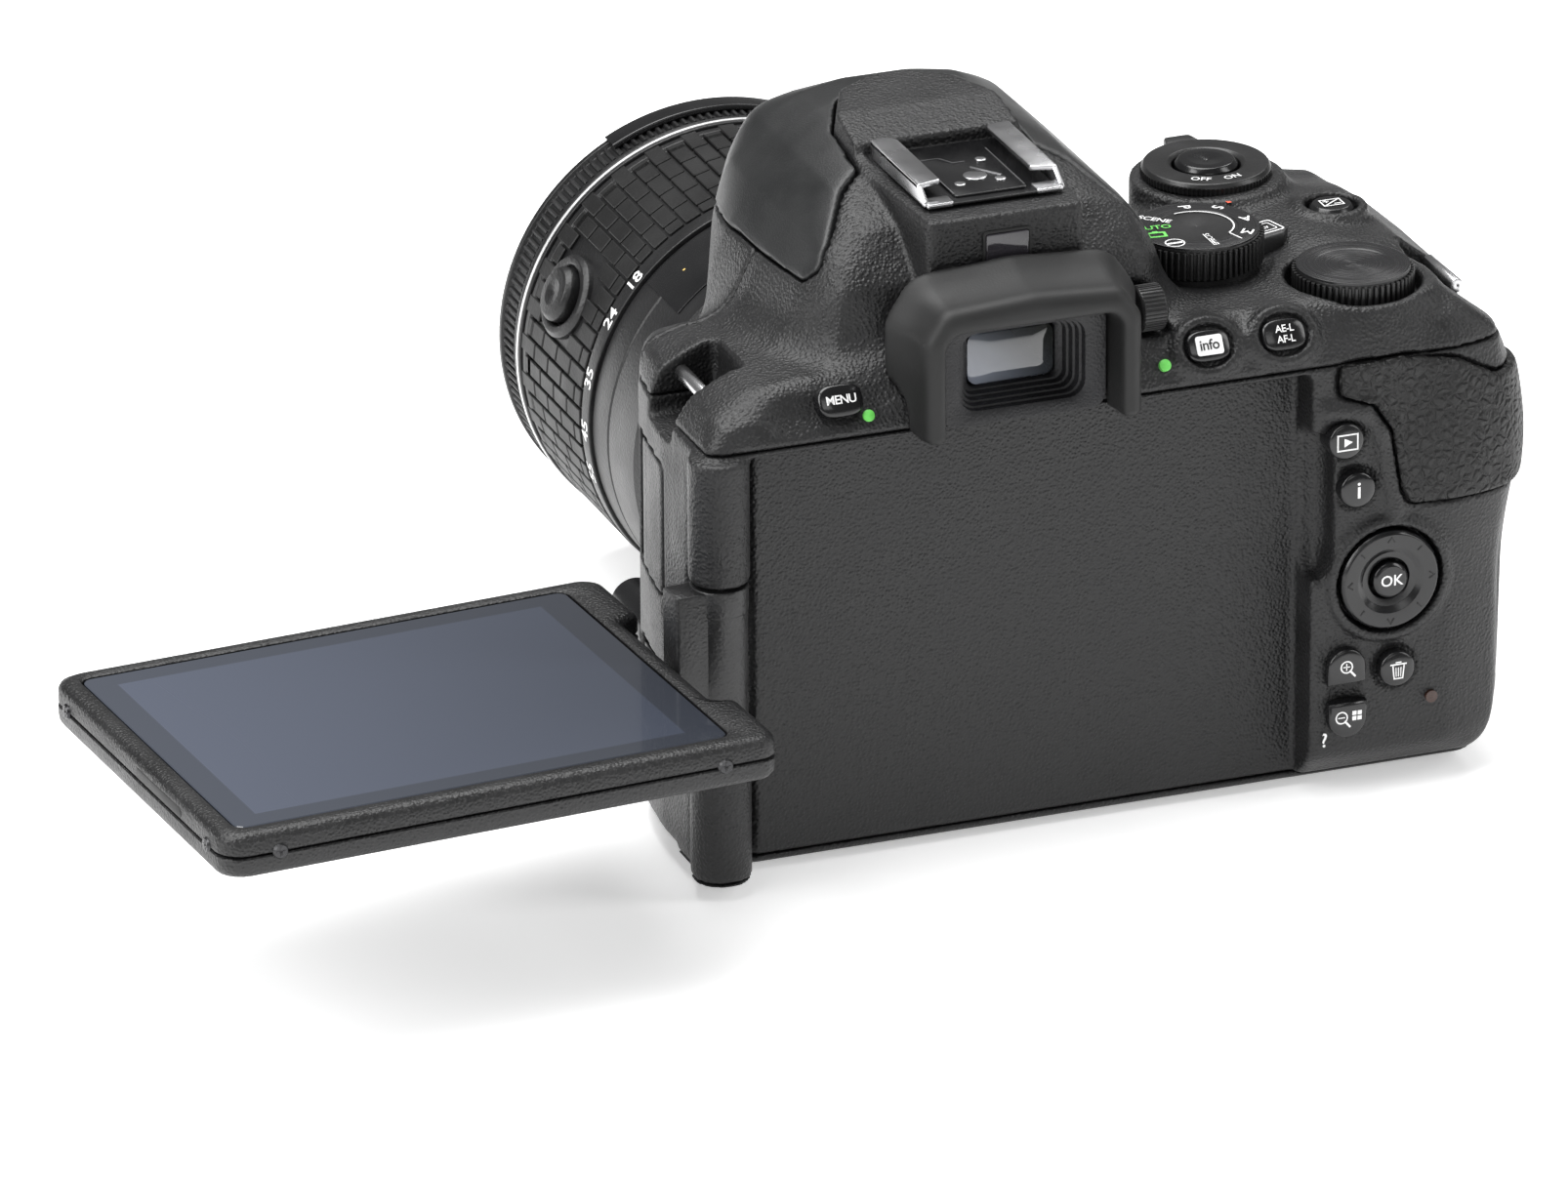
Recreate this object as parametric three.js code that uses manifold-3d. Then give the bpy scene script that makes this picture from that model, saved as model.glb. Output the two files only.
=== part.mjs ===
// An interchangeable-lens reflex camera with a side-hinged monitor, as an assembly of separate pieces.
// Millimetres. The lens axis is parallel to Y and points to -Y, +Z is up and the origin lies on the
// base, under the lens axis at the focal plane. +X is the side of the monitor hinge, -X the hand grip.
import * as THREE from 'three';
import { mergeVertices } from 'three/addons/utils/BufferGeometryUtils.js';
import Module from 'manifold-3d';

const wasm = await Module();
wasm.setup();

// ---------- Clearances ----------
const SEAM = 0.3; // between pieces that touch
const TURN_GAP = 0.35; // between pieces that turn or slide in each other
const TRAVEL = 0.6; // stroke of a small button
const DEG = Math.PI / 180;

// ---------- Monitor and its hinge ----------
const HINGE_X = 44; // vertical swing axis
const HINGE_Y = 15.5;
const MONITOR_REACH = 87.5; // swing axis to free edge
const MONITOR_HEIGHT = 62.4;
const MONITOR_THICK = 6.4;
const MONITOR_BOTTOM = 2.3; // lower edge above the base when closed
const REST_SWING = 4; // degrees short of fully open at rest
const NOTCH_DEPTH = 3.2;
const BLOCK_HALF = 13.3; // half height of the hinge block
const KNUCKLE_R = 4.3;
const MONITOR_INSET = KNUCKLE_R + 0.7; // swing axis to hinge-side edge
const SWING_PIN_R = 1.3;
const TILT_PIN_R = 1.2;
const TILT_PIN_END = 17;
const TILT_Z = MONITOR_BOTTOM + MONITOR_HEIGHT / 2;
const MONITOR_TOP = MONITOR_BOTTOM + MONITOR_HEIGHT;
const MONITOR_HALF = MONITOR_THICK / 2;
const NOTCH_HALF = BLOCK_HALF + 1;
const NOTCH_X = MONITOR_INSET + NOTCH_DEPTH;

// ---------- Body ----------
const BODY_LEFT = HINGE_X + 3.6;
const WELL_RIGHT = HINGE_X - MONITOR_REACH - 0.4; // the monitor closes against this wall
const WELL_TOP = MONITOR_TOP + 0.5;
const WELL_FLOOR = HINGE_Y - MONITOR_HALF - 0.5;
const CONTROL_WIDTH = 34.2; // from the well to the end of the grip
const BAND_HEIGHT = 9.8; // from the well to the shoulder
const BODY_RIGHT = WELL_RIGHT - CONTROL_WIDTH;
const BODY_TOP = WELL_TOP + BAND_HEIGHT;
const FRONT_Y = -33;
const BACK_Y = 18.2;
const GRIP_FRONT = -48;
const GRIP_WIDTH = 31;
const BASE_THICK = 2.4;
const WALL = 2.2;
const RUBBER_THICK = 1.7; // outer face of the rubber above the casing
const REAR_SEAM_Y = 5;
const TOP_SEAM_Z = WELL_TOP + 1;
const CAVITY_TOP = TOP_SEAM_Z - 2.5;

// ---------- Finder housing, flash head and accessory shoe ----------
const HUMP_HEIGHT = 18.5; // rear housing above the shoulder
const HUMP_HALF = 21;
const SHOE_BACK = 8;
const SHOE_HALF = 10.4;
const SHOE_LENGTH = 21.5;
const RAIL_WIDTH = 3.6;
const RAIL_HEIGHT = 2.6;
const RAIL_PLATE = 0.7;
const SHOE_FLOOR = BODY_TOP + HUMP_HEIGHT + 1;
const HUMP_TOP = BODY_TOP + HUMP_HEIGHT;
const FLASH_BACK = -18; // the flash head ends here between its arms
const FLASH_ARM_BACK = -4;
const FLASH_ARM_INNER = 15.8; // from the middle to each arm
const FLASH_FRONT = -46.5;
const FLASH_CREST = HUMP_TOP + 3;
const FLASH_SEAM_Z = HUMP_TOP - 7.5;
const EYECUP_BACK = 24;
const EYECUP_HALF = 16.5;
const EYECUP_BOTTOM = WELL_TOP + 0.4;
const EYECUP_TOP = BODY_TOP + 10.5;
const EYE_WINDOW_HALF = 9.9;
const EYE_WINDOW_BOTTOM = WELL_TOP + 1.4;
const EYE_WINDOW_TOP = EYE_WINDOW_BOTTOM + 13;
const HUMP_REAR = 12.5;

// ---------- Lens ----------
const LENS_Z = 35;
const MOUNT_R = 30;
const FLANGE_Y = -46.5; // lens seat, in front of the focal plane
const LENS_LENGTH = 62.5;
const BARREL_R = 31.4;
const ZOOM_R = 32;
const FRONT_R = 32.25;
const INNER_R = 27.6;
const LENS_WALL = 2.6;
const BARREL_FRONT = FLANGE_Y - 24;
const LENS_FRONT = FLANGE_Y - LENS_LENGTH;
const FOCUS_LENGTH = 7.6;
const COLLAR_LENGTH = 1.8;
const ZOOM_SEGMENTS = 40;
const RETRACT_ANGLE = 25 * DEG;
const RETRACT_R = 4.2;
const RETRACT_Y = FLANGE_Y - 41.5;
const THROAT_R = 22;

// ---------- Top controls ----------
const MODE_R = 9.7;
const MODE_X = WELL_RIGHT + 7.9;
const MODE_Y = -6.3;
const MODE_HEIGHT = 5.1;
const COMMAND_R = 8.8;
const COMMAND_X = WELL_RIGHT - 10.9;
const COMMAND_Y = 5.9;
const COMMAND_TOP = BODY_TOP + 1.3;
const COMMAND_HEIGHT = 5;
const DIAL_SIDES = 32;
const RELEASE_X = WELL_RIGHT - 4.1;
const RELEASE_Y = -32;
const RELEASE_R = 4.6;
const RELEASE_PROUD = 2.4;
const POWER_R = 9.4;
const POWER_THICK = 1.8;
const POWER_TAB = 2.2;
const TURRET_R = 10.6;
const TURRET_TOP = BODY_TOP + 1.6;
const EXPOSURE_X = WELL_RIGHT - 17;
const EXPOSURE_Y = -16.5;
const EXPOSURE_R = 3.3;
const TOP_BUTTON_DEPTH = 3;
const LEVER_HALF = 2.2;
const LEVER_TIP = 15.5; // from the mode dial's axis
const LEVER_THICK = 1.6;
const LEVER_ANGLE = 196 * DEG;

// ---------- Back controls ----------
const BAND_TILT = 30 * DEG; // upper buttons look up by this much
const BAND_Y = 15.8;
const BAND_Z = BODY_TOP - 3.8;
const OVAL_HALF_X = 3.4;
const OVAL_HALF_Z = 2.4;
const PAD_X = WELL_RIGHT - 11.6;
const PAD_Z = TILT_Z - 0.6;
const PAD_R = 7.5;
const OK_R = 2.7;
const SMALL_R = 2.8;
const BUTTON_PROUD = 0.9;
const BUTTON_DEPTH = 3;
const DIOPTER_R = 3.4;
const DIOPTER_HALF = 2;
const DIOPTER_X = -EYECUP_HALF - 5;
const DIOPTER_Y = 11.5;
const DIOPTER_Z = BODY_TOP + 1.5;

// ---------- Front and side controls ----------
const RELEASE_PIN_R = 3.6;
const RELEASE_PIN_X = MOUNT_R + 8.2;
const RELEASE_PIN_Z = LENS_Z - 12;
const SIDE_BUTTON_R = 2.4;
const FN_X = MOUNT_R + 4.2;
const FN_Z = LENS_Z + 21;
const FLASH_KEY_Y = FRONT_Y - 6;
const FLASH_KEY_Z = BODY_TOP - 4.8;
const BROW_HALF = 19;

// ---------- Doors, strap lugs, inner parts ----------
const DOOR_DEPTH = 2.2;
const CARD_BACK = 11.6;
const CARD_LENGTH = 15;
const CARD_LOW = MONITOR_BOTTOM + 10.5;
const CARD_HIGH = MONITOR_BOTTOM + 39;
const PORT_BACK = 0;
const PORT_LENGTH = 14;
const PORTS = [
  ['port_cover_upper', TILT_Z + 5.5, TILT_Z + 25.5],
  ['port_cover_lower', TILT_Z - 21.5, TILT_Z - 5.5],
];
const BATTERY_LENGTH = 31;
const BATTERY_WIDTH = 15.6;
const BATTERY_TALL = 50;
const BATTERY_X = BODY_RIGHT + 7.5;
const BATTERY_Y = GRIP_FRONT + 9.5;
const LUG_BAR_R = 1.1;
const LUG_HALF = 5;
const LUG_Y = -1.5;
const LUG_Z = BODY_TOP - 5.6;
const LUG_SET = 6.4; // bar axis inside the end of the body
const LUG_ROOM = 5.4; // bar axis to the pocket's inner wall
const MIRROR_LENGTH = 26;
const MIRROR_HALF = 14.5;
const MIRROR_THICK = 0.9;
const MIRROR_HINGE_Y = -9;
const MIRROR_HINGE_Z = LENS_Z + 13;
const SENSOR_HALF_X = 12;
const SENSOR_HALF_Z = 8;
const TRIPOD_Y = -18;
const TRIPOD_R = 5.4;
const TRIPOD_BORE = 3;
const TRIPOD_TALL = 8;

// ---------- Materials ----------
function finish(colour, roughness, metalness = 0) {
  return new THREE.MeshStandardMaterial({ color: colour, roughness, metalness });
}
const BODY_BLACK = finish(0x1d1d1e, 0.55);
const GRIP_BLACK = finish(0x151515, 0.8);
const RUBBER_BLACK = finish(0x121212, 0.7);
const DIAL_BLACK = finish(0x101010, 0.35);
const STEEL = finish(0xb9bcc0, 0.3, 1);
const ALUMINIUM = finish(0xd6d8da, 0.3, 1);
const LENS_BLACK = finish(0x161617, 0.45);
const COATED_GLASS = finish(0x2a3440, 0.05);
const SCREEN_GLASS = finish(0x3b4656, 0.1);
const BOARD_GREEN = finish(0x1d5a34, 0.5);
const MIRROR_SILVER = finish(0xdfe4e8, 0.03, 1);

// ---------- Ways of making a solid ----------
function solidOf(geometry) {
  const bare = geometry.index ? geometry.toNonIndexed() : geometry.clone();
  bare.deleteAttribute('normal');
  bare.deleteAttribute('uv');
  const merged = mergeVertices(bare, 1e-4);
  const corners = Array.from(merged.index.array);
  const kept = [];
  for (let i = 0; i < corners.length; i += 3) {
    const [a, b, c] = corners.slice(i, i + 3);
    if (a !== b && b !== c && c !== a) kept.push(a, b, c);
  }
  return new wasm.Manifold(new wasm.Mesh({
    numProp: 3,
    vertProperties: new Float32Array(merged.attributes.position.array),
    triVerts: new Uint32Array(kept),
  }));
}

function meshOf(name, solid, material) {
  const raw = solid.getMesh();
  const geometry = new THREE.BufferGeometry();
  geometry.setAttribute('position', new THREE.BufferAttribute(new Float32Array(raw.vertProperties), 3));
  geometry.setIndex(Array.from(raw.triVerts));
  const mesh = new THREE.Mesh(geometry, material);
  mesh.name = name;
  return mesh;
}

function cutAll(solid, cutters) {
  return cutters.reduce((left, cutter) => left.subtract(cutter), solid);
}

function addAll(solids) {
  return solids.reduce((sum, solid) => sum.add(solid));
}

function boxFrom(x0, x1, y0, y1, z0, z1) {
  const geometry = new THREE.BoxGeometry(x1 - x0, y1 - y0, z1 - z0);
  return solidOf(geometry.translate((x0 + x1) / 2, (y0 + y1) / 2, (z0 + z1) / 2));
}

function outline(points) {
  return new THREE.Shape(points.map(([a, b]) => new THREE.Vector2(a, b)));
}

function oval(halfX, halfY) {
  return new THREE.Shape().absellipse(0, 0, halfX, halfY, 0, 2 * Math.PI);
}

function roundedRect(x0, x1, y0, y1, radius) {
  const shape = new THREE.Shape();
  shape.absarc(x1 - radius, y1 - radius, radius, 0, Math.PI / 2);
  shape.absarc(x0 + radius, y1 - radius, radius, Math.PI / 2, Math.PI);
  shape.absarc(x0 + radius, y0 + radius, radius, Math.PI, 1.5 * Math.PI);
  shape.absarc(x1 - radius, y0 + radius, radius, 1.5 * Math.PI, 2 * Math.PI);
  return shape;
}

function extruded(shape, depth, curveSegments = 4) {
  return new THREE.ExtrudeGeometry(shape, { depth, bevelEnabled: false, curveSegments });
}

// An outline in (x, y) carried from z0 to z1.
function alongZ(shape, z0, z1, curveSegments) {
  return solidOf(extruded(shape, z1 - z0, curveSegments).translate(0, 0, z0));
}

// An outline in (x, z) carried from y0 to y1.
function alongY(shape, y0, y1, curveSegments) {
  return solidOf(extruded(shape, y1 - y0, curveSegments).rotateX(Math.PI / 2).translate(0, y1, 0));
}

// An outline in (y, z) carried from x0 to x1.
function alongX(shape, x0, x1, curveSegments) {
  const turn = new THREE.Matrix4().makeBasis(
    new THREE.Vector3(0, 1, 0), new THREE.Vector3(0, 0, 1), new THREE.Vector3(1, 0, 0));
  return solidOf(extruded(shape, x1 - x0, curveSegments).applyMatrix4(turn).translate(x0, 0, 0));
}

function disc(radius, low, high) {
  return [[0, low], [radius, low], [radius, high], [0, high]];
}

function ringProfile(inner, outer, low, high) {
  return [[inner, low], [outer, low], [outer, high], [inner, high], [inner, low]];
}

function latheOf(profile, segments) {
  return new THREE.LatheGeometry(profile.map(([r, h]) => new THREE.Vector2(r, h)), segments);
}

// A [radius, height] profile turned about a vertical axis.
function turnedZ(profile, x, y, z = 0, segments = 24) {
  return solidOf(latheOf(profile, segments).rotateX(Math.PI / 2).translate(x, y, z));
}

// A [radius, x] profile turned about an axis along X.
function turnedX(profile, x, y, z, segments = 20) {
  return solidOf(latheOf(profile, segments).rotateZ(-Math.PI / 2).translate(x, y, z));
}

// A [radius, y] profile turned about an axis along Y.
function turnedY(profile, x, z, segments = 20) {
  return solidOf(latheOf(profile, segments).translate(x, 0, z));
}

function lensTurned(profile) {
  return turnedY(profile, 0, LENS_Z, ZOOM_SEGMENTS);
}

// A geometry made about +Z, moved so that its +Z looks backwards, and up by the given tilt.
function onBack(geometry, x, y, z, tilt = 0) {
  return solidOf(geometry.rotateX(tilt - Math.PI / 2).translate(x, y, z));
}

// A strip that follows an open path in plan, from one side offset to another.
function planStrip(path, near, far, z0, z1) {
  const normals = path.map((point, i) => {
    const before = path[Math.max(i - 1, 0)];
    const after = path[Math.min(i + 1, path.length - 1)];
    const along = new THREE.Vector2(after[0] - before[0], after[1] - before[1]).normalize();
    return [along.y, -along.x];
  });
  const side = (offset) => path.map(([x, y], i) => [x + normals[i][0] * offset, y + normals[i][1] * offset]);
  return alongZ(outline([...side(far), ...side(near).reverse()]), z0, z1);
}

// ---------- Buttons on the back ----------
const BACK_BUTTONS = [
  ['menu_button', 26.3, null],
  ['info_button', -EYECUP_HALF - 12.1, null],
  ['exposure_lock_button', WELL_RIGHT + 3.9, null],
  ['playback_button', WELL_RIGHT - 4.7, MONITOR_TOP - 9.7],
  ['info_menu_button', WELL_RIGHT - 6.5, MONITOR_TOP - 17.3],
  ['zoom_in_button', WELL_RIGHT - 5.1, MONITOR_BOTTOM + 17.9],
  ['zoom_out_button', WELL_RIGHT - 5.3, MONITOR_BOTTOM + 10.6],
  ['delete_button', WELL_RIGHT - 12.8, MONITOR_BOTTOM + 16.8],
].map(([name, x, z]) => (z === null
  ? { name, x, y: BAND_Y, z: BAND_Z, tilt: BAND_TILT, halfX: OVAL_HALF_X, halfZ: OVAL_HALF_Z }
  : { name, x, y: BACK_Y, z, tilt: 0, halfX: SMALL_R, halfZ: SMALL_R }));

function backButton({ name, x, y, z, tilt, halfX, halfZ }) {
  const stem = extruded(oval(halfX, halfZ), BUTTON_DEPTH, 5).translate(0, 0, BUTTON_PROUD - BUTTON_DEPTH);
  return meshOf(name, onBack(stem, x, y, z, tilt), RUBBER_BLACK);
}

function backButtonHole({ x, y, z, tilt, halfX, halfZ }) {
  const depth = BUTTON_DEPTH + TRAVEL + SEAM;
  const hole = extruded(oval(halfX + TURN_GAP, halfZ + TURN_GAP), depth + 3, 5);
  return onBack(hole.translate(0, 0, BUTTON_PROUD - depth), x, y, z, tilt);
}

// ---------- Casing ----------
function bodyFront() {
  return outline([
    [BODY_RIGHT + 5, 0], [BODY_LEFT - 3, 0], [BODY_LEFT, 3], [BODY_LEFT, BODY_TOP - 15],
    [BODY_LEFT - 2.1, BODY_TOP - 8], [BODY_LEFT - 8, BODY_TOP - 2], [BODY_LEFT - 15, BODY_TOP],
    [BODY_RIGHT + 19, BODY_TOP], [BODY_RIGHT + 11, BODY_TOP - 2], [BODY_RIGHT + 4.5, BODY_TOP - 7],
    [BODY_RIGHT + 1, BODY_TOP - 14], [BODY_RIGHT, BODY_TOP - 26], [BODY_RIGHT + 1.5, 12],
  ]);
}

function bodySide() {
  return outline([
    [FRONT_Y + 3, 0], [WELL_FLOOR - 1.5, 0], [BACK_Y, 7], [BACK_Y, WELL_TOP + 1],
    [BAND_Y + 1.5, BAND_Z - 2], [BAND_Y - 2.8, BODY_TOP], [FRONT_Y + 5, BODY_TOP],
    [FRONT_Y, BODY_TOP - 6], [FRONT_Y, 4],
  ]);
}

const RIGHT_PLAN = [
  [BODY_RIGHT, -6], [BODY_RIGHT + 1, 9], [BODY_RIGHT + 5, 15.5], [BODY_RIGHT + 12, BACK_Y],
];

function bodyPlan() {
  return outline([
    [BODY_LEFT, BACK_Y], ...RIGHT_PLAN.toReversed(), [BODY_RIGHT + 3, FRONT_Y + 10],
    [BODY_RIGHT + 8, FRONT_Y], [BODY_LEFT - 16, FRONT_Y], [BODY_LEFT - 8, FRONT_Y + 7], [BODY_LEFT - 2.5, FRONT_Y + 19], [BODY_LEFT, 2],
  ]);
}

const GRIP_PLAN = [
  [BODY_RIGHT, -6], [BODY_RIGHT, -28], [BODY_RIGHT + 4, GRIP_FRONT + 8], [BODY_RIGHT + 11, GRIP_FRONT + 1.5],
  [BODY_RIGHT + 18, GRIP_FRONT], [BODY_RIGHT + GRIP_WIDTH - 5, GRIP_FRONT + 4],
  [BODY_RIGHT + GRIP_WIDTH, GRIP_FRONT + 11], [BODY_RIGHT + GRIP_WIDTH + 1, FRONT_Y + 4],
];

function gripSide() {
  return outline([
    [GRIP_FRONT + 4, 0], [-4, 0], [-4, BODY_TOP - 1], [RELEASE_Y - 6, BODY_TOP - 1],
    [GRIP_FRONT + 3, BODY_TOP - 10], [GRIP_FRONT, BODY_TOP - 20], [GRIP_FRONT, 6],
  ]);
}

function humpFront() {
  return outline([
    [-HUMP_HALF - 12, BODY_TOP - 1.5], [HUMP_HALF + 7, BODY_TOP - 1.5], [HUMP_HALF + 1, BODY_TOP + 5],
    [HUMP_HALF - 1, HUMP_TOP - 8], [HUMP_HALF - 5, HUMP_TOP - 1], [HUMP_HALF - 10, FLASH_CREST],
    [-HUMP_HALF + 10, FLASH_CREST], [-HUMP_HALF + 5, HUMP_TOP - 1], [-HUMP_HALF - 1, HUMP_TOP - 8],
    [-HUMP_HALF - 4, BODY_TOP + 5],
  ]);
}

function humpSide() {
  return outline([
    [FLASH_FRONT + 1, BODY_TOP - 2], [HUMP_REAR, BODY_TOP - 2], [HUMP_REAR, HUMP_TOP],
    [SHOE_BACK - SHOE_LENGTH - 3, HUMP_TOP], [FLASH_FRONT + 16, FLASH_CREST - 1],
    [FLASH_FRONT + 9, FLASH_CREST], [FLASH_FRONT + 4, FLASH_CREST - 3], [FLASH_FRONT, HUMP_TOP - 8],
  ]);
}

function humpSolid() {
  return alongY(humpFront(), FLASH_FRONT, HUMP_REAR)
    .intersect(alongX(humpSide(), -HUMP_HALF - 13, HUMP_HALF + 8));
}

function envelope() {
  const block = alongY(bodyFront(), FRONT_Y, BACK_Y)
    .intersect(alongX(bodySide(), BODY_RIGHT - 1, BODY_LEFT + 1))
    .intersect(alongZ(bodyPlan(), -1, BODY_TOP + 1));
  const gripOutline = outline([...GRIP_PLAN, [BODY_RIGHT + GRIP_WIDTH - 9, -6]]);
  const grip = alongZ(gripOutline, 0, BODY_TOP)
    .intersect(alongX(gripSide(), BODY_RIGHT - 1, BODY_RIGHT + GRIP_WIDTH + 2))
    .intersect(alongY(bodyFront(), GRIP_FRONT, BACK_Y));
  const brow = boxFrom(-BROW_HALF, BROW_HALF, FLASH_FRONT + 1, FRONT_Y + 1, LENS_Z + 20, BODY_TOP);
  const turret = turnedZ(disc(TURRET_R, BODY_TOP - 12, TURRET_TOP), RELEASE_X, RELEASE_Y);
  const seat = FLANGE_Y + SEAM;
  const boss = lensTurned([[0, seat], [MOUNT_R + 3, seat], [MOUNT_R + 4.5, FRONT_Y + 3], [0, FRONT_Y + 3]]);
  return addAll([block, grip, humpSolid(), brow, turret, boss]);
}

// The monitor folds into this; on the hinge side the casing stops clear of the swinging block.
function monitorWell() {
  const hingeSide = HINGE_X - KNUCKLE_R - TURN_GAP - 0.4;
  const pocketFloor = HINGE_Y - KNUCKLE_R - 0.4;
  const well = boxFrom(WELL_RIGHT, hingeSide, WELL_FLOOR, BACK_Y + 2, -1, WELL_TOP);
  return well.add(boxFrom(hingeSide - 1, BODY_LEFT + 1, pocketFloor, BACK_Y + 2, -1, WELL_TOP));
}

// Hollows for the mirror box, sensor, prism, battery and circuit board.
function hollows() {
  const low = BASE_THICK + SEAM;
  const left = BODY_LEFT - 12;
  const wellWall = WELL_FLOOR - WALL;
  const board = boxFrom(WELL_RIGHT + 3, left, REAR_SEAM_Y - 6, wellWall, low, CAVITY_TOP);
  const rearRight = boxFrom(BODY_RIGHT + 8, WELL_RIGHT + 4, REAR_SEAM_Y - 6, BACK_Y - 7, low, CAVITY_TOP);
  const sideLeft = boxFrom(26, left, FRONT_Y + 11, REAR_SEAM_Y, low, CAVITY_TOP);
  const mirrorBox = boxFrom(-17, 17, FLANGE_Y + 8, REAR_SEAM_Y, low + 8, CAVITY_TOP);
  const throat = lensTurned(disc(THROAT_R, FLANGE_Y - 1, FLANGE_Y + 9));
  const prism = boxFrom(-14, 14, -16, HUMP_REAR - 4, CAVITY_TOP - 2, HUMP_TOP - 3.5);
  const battery = boxFrom(BATTERY_X - 1, BATTERY_X + BATTERY_WIDTH + 1, BATTERY_Y - 1,
    BATTERY_Y + BATTERY_LENGTH + 1, low - 1, BASE_THICK + BATTERY_TALL + 2);
  return [board, rearRight, sideLeft, mirrorBox, throat, prism, battery];
}

function strapPockets() {
  const pocket = (x0, x1) => boxFrom(x0, x1, LUG_Y - LUG_HALF - SEAM, LUG_Y + LUG_HALF + SEAM,
    LUG_Z - 6, BODY_TOP + 1);
  return [
    pocket(BODY_LEFT - LUG_SET - LUG_ROOM, BODY_LEFT + 1),
    pocket(BODY_RIGHT - 1, BODY_RIGHT + LUG_SET + LUG_ROOM),
  ];
}

// A door's room: its own box grown by the seam, and deeper inside so that its edge can turn.
function doorBoxes(grow) {
  const deep = grow * 3;
  const card = boxFrom(BODY_RIGHT - 1, BODY_RIGHT + 1 + DOOR_DEPTH + deep, CARD_BACK - CARD_LENGTH - grow,
    CARD_BACK + 1 + grow, CARD_LOW - grow, CARD_HIGH + grow);
  const ports = PORTS.map(([, z0, z1]) => boxFrom(BODY_LEFT - 2.6 - DOOR_DEPTH - deep, BODY_LEFT + 1,
    PORT_BACK - PORT_LENGTH - grow, PORT_BACK + 1 + grow, z0 - grow, z1 + grow));
  const battery = boxFrom(BATTERY_X - 1 - grow, BATTERY_X + BATTERY_WIDTH + 1 + grow, BATTERY_Y - 1 - grow,
    BATTERY_Y + BATTERY_LENGTH + 1 + grow, -1, DOOR_DEPTH + deep);
  return { card, ports, battery };
}

function topHoles() {
  const holeDepth = TOP_BUTTON_DEPTH + TRAVEL + SEAM;
  const commandFloor = COMMAND_TOP - COMMAND_HEIGHT - TURN_GAP;
  const open = BODY_TOP + 12;
  return [
    turnedZ(disc(MODE_R + TURN_GAP, BODY_TOP - 1.5, open), MODE_X, MODE_Y),
    turnedZ(disc(COMMAND_R + TURN_GAP, commandFloor, open), COMMAND_X, COMMAND_Y),
    turnedZ(disc(RELEASE_R + TURN_GAP, TURRET_TOP - holeDepth, open), RELEASE_X, RELEASE_Y),
    turnedZ(disc(EXPOSURE_R + TURN_GAP, BODY_TOP - holeDepth, open), EXPOSURE_X, EXPOSURE_Y),
  ];
}

function eyepieceHoles() {
  const frame = boxFrom(-EYE_WINDOW_HALF - SEAM, EYE_WINDOW_HALF + SEAM, HUMP_REAR - 3, BACK_Y + 5,
    EYE_WINDOW_BOTTOM - SEAM, EYE_WINDOW_TOP + SEAM);
  const tunnel = boxFrom(-7, 7, 0, BACK_Y, EYE_WINDOW_BOTTOM + 2.6, EYE_WINDOW_TOP - 1.6);
  return [frame, tunnel];
}

function flashRoom(gap) {
  const side = HUMP_HALF + 12;
  const low = FLASH_SEAM_Z + gap;
  const high = FLASH_CREST + 2;
  const inner = FLASH_ARM_INNER + gap;
  return addAll([
    boxFrom(-side, side, FLASH_FRONT - 1, FLASH_BACK - gap, low, high),
    boxFrom(inner, side, FLASH_BACK - 2, FLASH_ARM_BACK - gap, low, high),
    boxFrom(-side, -inner, FLASH_BACK - 2, FLASH_ARM_BACK - gap, low, high),
  ]);
}

function controlHoles() {
  const pad = latheOf(disc(PAD_R + TURN_GAP, -BUTTON_DEPTH - TRAVEL, 4), 28).rotateX(Math.PI / 2);
  const shoe = boxFrom(-SHOE_HALF - SEAM, SHOE_HALF + SEAM, SHOE_BACK - SHOE_LENGTH - SEAM,
    SHOE_BACK + SEAM, HUMP_TOP - SEAM, FLASH_CREST + 2);
  const flash = flashRoom(0);
  const hole = (radius) => radius + TURN_GAP;
  const diopterRoom = [[0, -DIOPTER_HALF - TURN_GAP], [hole(DIOPTER_R), -DIOPTER_HALF - TURN_GAP],
    [hole(DIOPTER_R), DIOPTER_HALF + TURN_GAP], [0, DIOPTER_HALF + TURN_GAP]];
  return [
    onBack(pad, PAD_X, BACK_Y, PAD_Z), shoe, flash,
    turnedX(diopterRoom, DIOPTER_X, DIOPTER_Y, DIOPTER_Z),
    turnedY(disc(hole(RELEASE_PIN_R), FRONT_Y - 20, FRONT_Y + 14), RELEASE_PIN_X, RELEASE_PIN_Z),
    turnedY(disc(hole(SIDE_BUTTON_R), FRONT_Y - 20, FRONT_Y + 8), FN_X, FN_Z),
    turnedX(disc(hole(SIDE_BUTTON_R), BROW_HALF - 4.6, BROW_HALF + 4), 0, FLASH_KEY_Y, FLASH_KEY_Z),
    lensTurned(disc(MOUNT_R + SEAM, FLANGE_Y - 1, FLANGE_Y + 3.2)),
    turnedZ(disc(TRIPOD_R + SEAM, -1, TRIPOD_TALL + SEAM), 0, TRIPOD_Y),
  ];
}

const DOOR_ROOMS = doorBoxes(SEAM);
const CASING = cutAll(envelope(), [
  monitorWell(), ...hollows(), ...strapPockets(), DOOR_ROOMS.card, ...DOOR_ROOMS.ports, DOOR_ROOMS.battery,
  ...topHoles(), ...eyepieceHoles(), ...controlHoles(), ...BACK_BUTTONS.map(backButtonHole),
]);

function casingPart(y0, y1, z0, z1) {
  return CASING.intersect(boxFrom(BODY_RIGHT - 5, BODY_LEFT + 5, y0, y1, z0, z1));
}

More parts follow.
